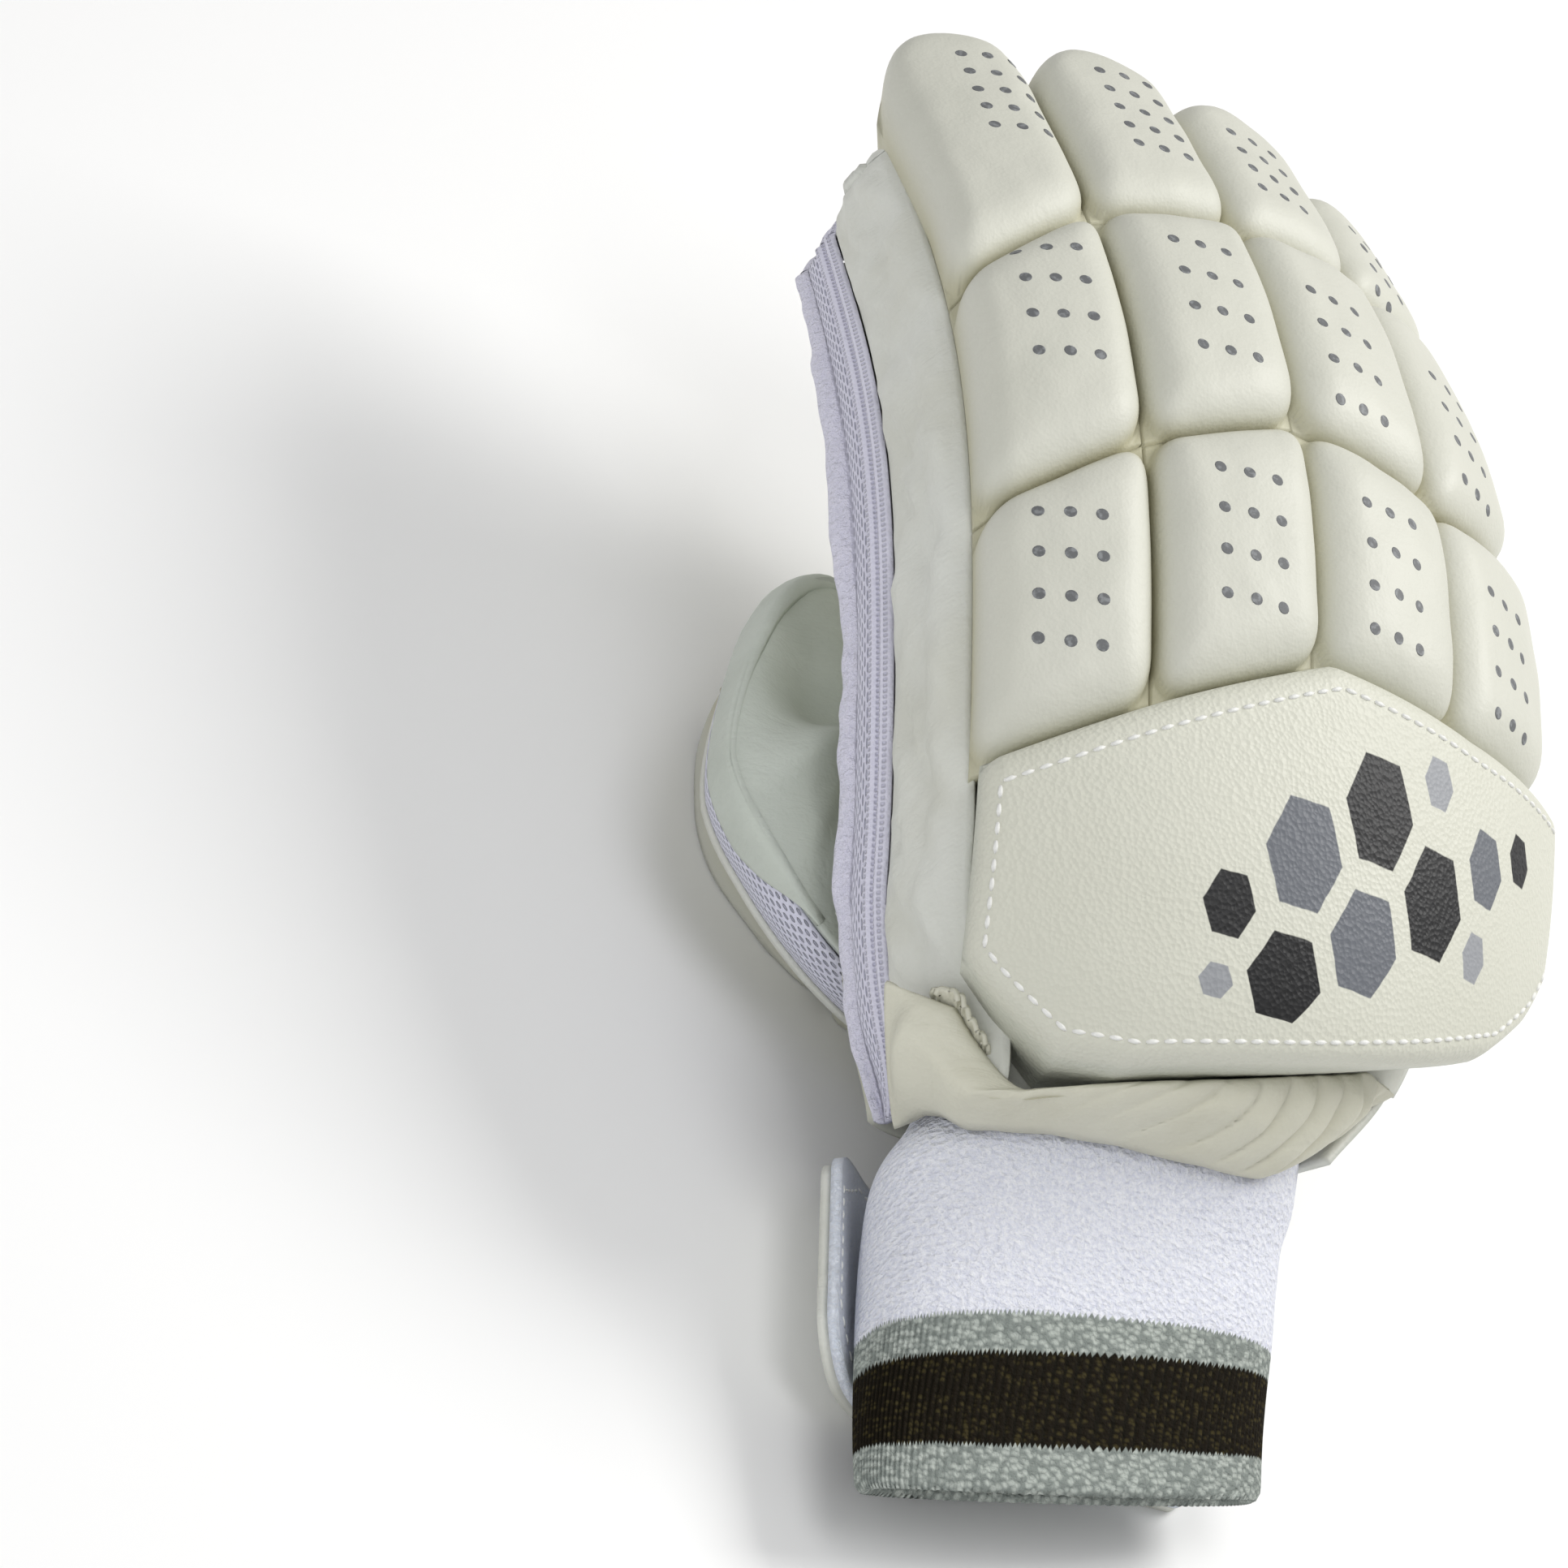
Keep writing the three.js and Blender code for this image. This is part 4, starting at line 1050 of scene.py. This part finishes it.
# The thumb
thumbLine = table("share leftX leftY leftZ rightX rightY rightZ", [
    (0.14, 30, 15, 12.5, 50, 66, 35),
    (0.28, 14, 21, 14.5, 32, 64, 36),
    (0.44, -16, 31, 21, 12, 68, 37),
    (0.6, -45, 36, 27, -6, 80, 38),
    (0.76, -63, 52, 33, -19, 94, 38),
    (0.9, -69, 74, 34, -26, 107, 37),
    (1, -62, 112, 33, -24, 132, 35),
])
thumbDrop = table("share left right inset", [
    (0.14, 5, 8, -2),
    (0.28, 9, 16.5, -3),
    (0.44, 14, 19, 2),
    (0.6, 14, 20, 5),
    (0.76, 16, 20, 6),
    (0.9, 16, 19, 6),
    (1, 15, 16, 5),
])
thumbSizes = {"tipRound": 0.15, "crown": 3, "fold": 0.14, "leather": 1.6, "columns": 44, "rows": 110,
              "padDepth": 19, "padBevel": 6.5, "padRim": 0.37, "padCells": 44, "padWide": 52, "padLong": 48,
              "capDown": 0.55, "capOut": 0.5, "capFrom": 42, "capTo": 26, "halfWide": 32, "long": 150, "bulge": 2.4}


# A thumb table's column, which runs straight on past the tip.
def thumbColumn(rows, name, s):
    value = fromTable(rows, "share", name, s)
    if s > 1:
        value += (value - fromTable(rows, "share", name, 0.98)) * (s - 1) / 0.02
    return value


def thumbEdge(s, a):
    def column(name):
        return thumbColumn(thumbLine, name, s)

    left = Vector((column("leftX"), column("leftY"), column("leftZ")))
    right = Vector((column("rightX"), column("rightY"), column("rightZ")))
    return left.lerp(right, (a + 1) / 2) + Vector((*hand["shift"], 0))


def thumbInner(a, s, inside):
    fold = thumbSizes["fold"]
    v = mix(thumbHole["from"] + 2.2, thumbHole["to"] - 2.2, (a + 1) / 2)
    top = abovePalm(palmRight(v) + 0.03 + inside * 2 * thumbSizes["leather"] / hand["palmWidth"], v, 0.6)
    p = thumbEdge(max(s, fold), a)
    p.z += thumbSizes["crown"] * (1 - a * a) * clamp01(s / fold - 0.5) - inside * thumbSizes["leather"]
    return top.lerp(p, s / fold) if s < fold else p


def thumbOuter(a, s, inside):
    fold = thumbSizes["fold"]
    share = max(s, fold)
    p = thumbEdge(share, a)
    side = thumbEdge(share, 1) - thumbEdge(share, -1)
    side.z = 0
    side.normalize()
    ahead = Vector((side.y, -side.x, 0))

    def column(name):
        return thumbColumn(thumbDrop, name, share)

    inset = column("inset")
    p.z -= mix(column("left"), column("right"), (a + 1) / 2) - inside * thumbSizes["leather"]
    p += side * (-a * inset) if inset > 0 else ahead * (-inset * (1 - 0.3 * a * a))
    v = mix(thumbHole["from"] + 5.4, thumbHole["to"] - 0.4, (a + 1) / 2)
    edge = backRight(v)
    low = abovePalm(edge, v, 14 * (1 - ease((v - 12) / 30)))
    top = aboveBack(edge, v, 0).lerp(low, 0.075)
    inner = Vector((inside * thumbSizes["leather"], 0, 0))
    if s < fold / 2:
        return top.lerp(low, s / (fold / 2)) - inner
    if s < fold:
        return (low - inner).lerp(p, (s - fold / 2) / (fold / 2))
    return p


def thumbEnd(a):
    return 1 - thumbSizes["tipRound"] * (1 - math.sqrt(max(0, 1 - 0.96 * a * a)))


def thumbSheet(name, surface, node, material, wall, shape):
    columns, rows = thumbSizes["columns"], thumbSizes["rows"]

    def corner(i, j):
        a = math.sin(math.pi * (i / columns - 0.5)) * 0.5 + (2 * i / columns - 1) * 0.5
        s = thumbEnd(a) * j / rows
        p = surface(a, s, 0)
        p.z += shape(a, s)
        return p, a, s, 1

    piece = gridPiece(name, columns, rows, corner, material, wall)
    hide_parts(node)
    return piece


# A ridge, a dent and a crease over the thumb's inner leather, and how they slant, in shares
thumbFolds = table("height along slant narrow across wide", [
    (3.2, 0.825, 0.03, 0.03, -0.3, 0.6),
    (-7, 0.9, 0.06, 0.045, 0.05, 0.5),
    (-1.6, 0.77, -0.08, 0.018, -0.35, 0.5),
])


def innerShape(a, s):
    fold = 0
    for row in thumbFolds:
        along = (s - row["along"] + row["slant"] * a) / row["narrow"]
        fold += row["height"] * math.exp(-along ** 2 - ((a - row["across"]) / row["wide"]) ** 2)
    return (fold + 1.1 * drift(a * 2.4, s * 11, 2)) * (1 - a * a) ** 0.7


thumbTop = thumbSheet("thumb_leather_sheet", thumbInner, "thumb_leather", innerLeather, 1.5, innerShape)
thumbSheet("thumb_back_sheet", thumbOuter, "thumb_back", handLeather, -1.5, lambda a, s: 0)


def thumbBand():
    size = thumbSizes
    fold = size["fold"]
    path = [(-1, mix(fold, thumbEnd(1), k / 60)) for k in range(60)]
    for k in range(31):
        a = -math.cos(math.pi * k / 30)
        path.append((a, thumbEnd(a)))
    path += [(1, mix(fold, thumbEnd(1), k / 60)) for k in range(59, -1, -1)]
    halfWide, long = size["halfWide"], size["long"]
    flat = [Vector((a * halfWide, s * long)) for a, s in path]
    run = lengthsAlong(flat)
    rows = 14

    def corner(i, j):
        ahead = (flat[min(len(flat) - 1, i + 1)] - flat[max(0, i - 1)]).normalized()
        p = flat[i] - Vector((ahead.y, -ahead.x)) * size["bulge"] * math.sin(math.pi * j / rows)
        top, low = thumbInner(p.x / halfWide, p.y / long, 1), thumbOuter(p.x / halfWide, p.y / long, 1)
        gap = min(0.1 / (top - low).length, 0.3)
        return low.lerp(top, mix(gap, 1 - gap, j / rows)), run[i] / 10, j / rows, 1

    piece = gridPiece("thumb_mesh", len(flat) - 1, rows, corner, meshCloth, -1.4)
    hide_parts("thumb_gusset")

    # the inner leather comes down over the edge round the tip
    first, last, capRows = size["capFrom"], len(flat) - size["capTo"], 12

    def capCorner(i, j):
        n = first + i
        ends = clamp01(min(i, last - first - i) / 12)
        ahead = (flat[n + 1] - flat[n - 1]).normalized()
        t = j / capRows
        share = mix(1 - size["capDown"] * ease(ends), 1.02, t)
        away = size["bulge"] * math.sin(math.pi * min(1, share)) + size["capOut"] * min(1, (1 - t) * 3 + 0.5)
        away += 0.45 * drift(run[n] * 0.12, share * 3, 8)
        p = flat[n] - Vector((ahead.y, -ahead.x)) * (away - (1.6 if j == capRows else 0))
        top, low = thumbInner(p.x / halfWide, p.y / long, 1), thumbOuter(p.x / halfWide, p.y / long, 1)
        top.z += size["leather"] + 0.05
        return low.lerp(top, share), run[n] / 10, share, 1

    gridPiece("thumb_tip_leather", last - first, capRows, capCorner, innerLeather, -1.2)


thumbBand()
thumbPads = table("name from to left right", [
    ("base", 0.27, 0.6, -0.38, 0.94),
    ("tip", 0.612, 1, -0.28, 0.95),
])


def thumbPad(pad):
    size = thumbSizes
    shares = padShares(size["padCells"])

    def corner(i, j):
        (m, wallM), (n, wallN) = shares[i], shares[j]
        a = mix(pad["left"], pad["right"], m)
        end = thumbEnd(a) - 0.005 if pad["to"] == 1 else pad["to"]
        p = thumbOuter(a, mix(pad["from"], end, n), 0)
        p.z -= padSizes["seat"] + 0.35
        rise = roundRise(m, n, size["padWide"], size["padLong"], size["padBevel"])
        if not (wallM or wallN):
            p.z = max(0.02, p.z - size["padDepth"] * mix(size["padRim"], 1, rise))
        return p, m, n, rise

    piece = gridPiece(f"thumb_pad_{pad['name']}_cover", size["padCells"], size["padCells"], corner, padLeather,
                      cap=True)
    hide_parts(f"thumb_pad_{pad['name']}")
    return piece


thumbTipPad = [thumbPad(pad) for pad in thumbPads][-1]
thumbStitch = {"pitch": 2.9, "length": 2.2, "width": 0.6, "height": 0.5, "lift": 0.02}


# Two rows inside the edge of the inner leather, from its fold at the palm to the tip's own cap
def thumbStitches():
    lines = []
    for inset in (0.80, 0.87):
        for side in (-1, 1):
            shares = [mix(0.17, 0.66, k / 40) for k in range(41)]
            lines.append([thumbInner(side * inset, s, 0) for s in shares])
    return stitchRow("thumb_stitches", treeOf(thumbTop), lines, thumbStitch, thread)


thumbStitches()
thumbDots = {"across": 0.34, "along": 0.8, "acrossPitch": 0.2, "alongPitch": 0.042, "columns": 3, "rows": 4}


def thumbTipDots(piece):
    tree = treeOf(piece)
    bm = bmesh.new()
    size = thumbDots
    for m in range(size["columns"]):
        for n in range(size["rows"]):
            a = size["across"] + (m - (size["columns"] - 1) / 2) * size["acrossPitch"]
            s = size["along"] + (n - (size["rows"] - 1) / 2) * size["alongPitch"]
            spot = thumbOuter(a, s, 0) * 0.001
            addDot(bm, tree, Vector((spot.x, spot.y, -0.05)), Vector((0, 0, 1)))
    return meshPiece("thumb_tip_dots", bm, dotPrint)


thumbTipDots(thumbTipPad)
print("thumb done")


# Floor, lights and camera
def floorFinish():
    f = Finish("floor", Roughness=0.7)
    return f.finishWith(f.blend(f.noise(3), (0.93, 0.93, 0.93), (0.95, 0.95, 0.95)), 0.7)


def floor():
    bm = bmesh.new()
    bmesh.ops.create_grid(bm, x_segments=8, y_segments=8, size=6)
    bmesh.ops.translate(bm, verts=bm.verts, vec=(0, 0, -0.0002))
    mesh = bpy.data.meshes.new("floor")
    bm.to_mesh(mesh)
    bm.free()
    piece = bpy.data.objects.new("floor", mesh)
    scene.collection.objects.link(piece)
    mesh.materials.append(floorFinish())


floor()


def softLight(name, at, aim, size, power, color=(1, 1, 1)):
    light = bpy.data.lights.new(name, "AREA")
    light.size, light.energy, light.color = size, power, color
    lamp = bpy.data.objects.new(name, light)
    scene.collection.objects.link(lamp)
    lamp.location = at
    lamp.rotation_euler = (Vector(aim) - Vector(at)).to_track_quat("-Z", "Y").to_euler()


softLight("keyLight", (0.75, 0.25, 0.95), (0, 0, 0.06), 0.55, 9.5, (1, 0.99, 0.97))
softLight("fillLight", (-0.9, -0.8, 0.6), (0, 0, 0.06), 0.9, 3, (0.96, 0.98, 1))
softLight("topLight", (-0.2, -0.35, 1.2), (0, 0, 0.08), 0.6, 3.5)
world = bpy.data.worlds.new("studio")
world.use_nodes = True
world.node_tree.nodes["Background"].inputs[0].default_value = (1, 1, 1, 1)
world.node_tree.nodes["Background"].inputs[1].default_value = 0.42
scene.world = world
scene.view_settings.view_transform = "Standard"

camera = bpy.data.cameras.new("camera")
camera.sensor_width, camera.lens = 36, 124.42
camera.clip_start, camera.clip_end = 0.01, 50
eye = bpy.data.objects.new("camera", camera)
scene.collection.objects.link(eye)
turn = Matrix(((0.8292, -0.1552, 0.5369), (-0.2741, 0.7242, 0.6328), (-0.4871, -0.6719, 0.558))).transposed()
spot = Vector((-513.416 + hand["shift"][0], -560.494 + hand["shift"][1], 555.546)) * 0.001
eye.matrix_world = Matrix.Translation(spot) @ turn.to_4x4()
scene.camera = eye
print("camera set")

bpy.context.view_layer.update()
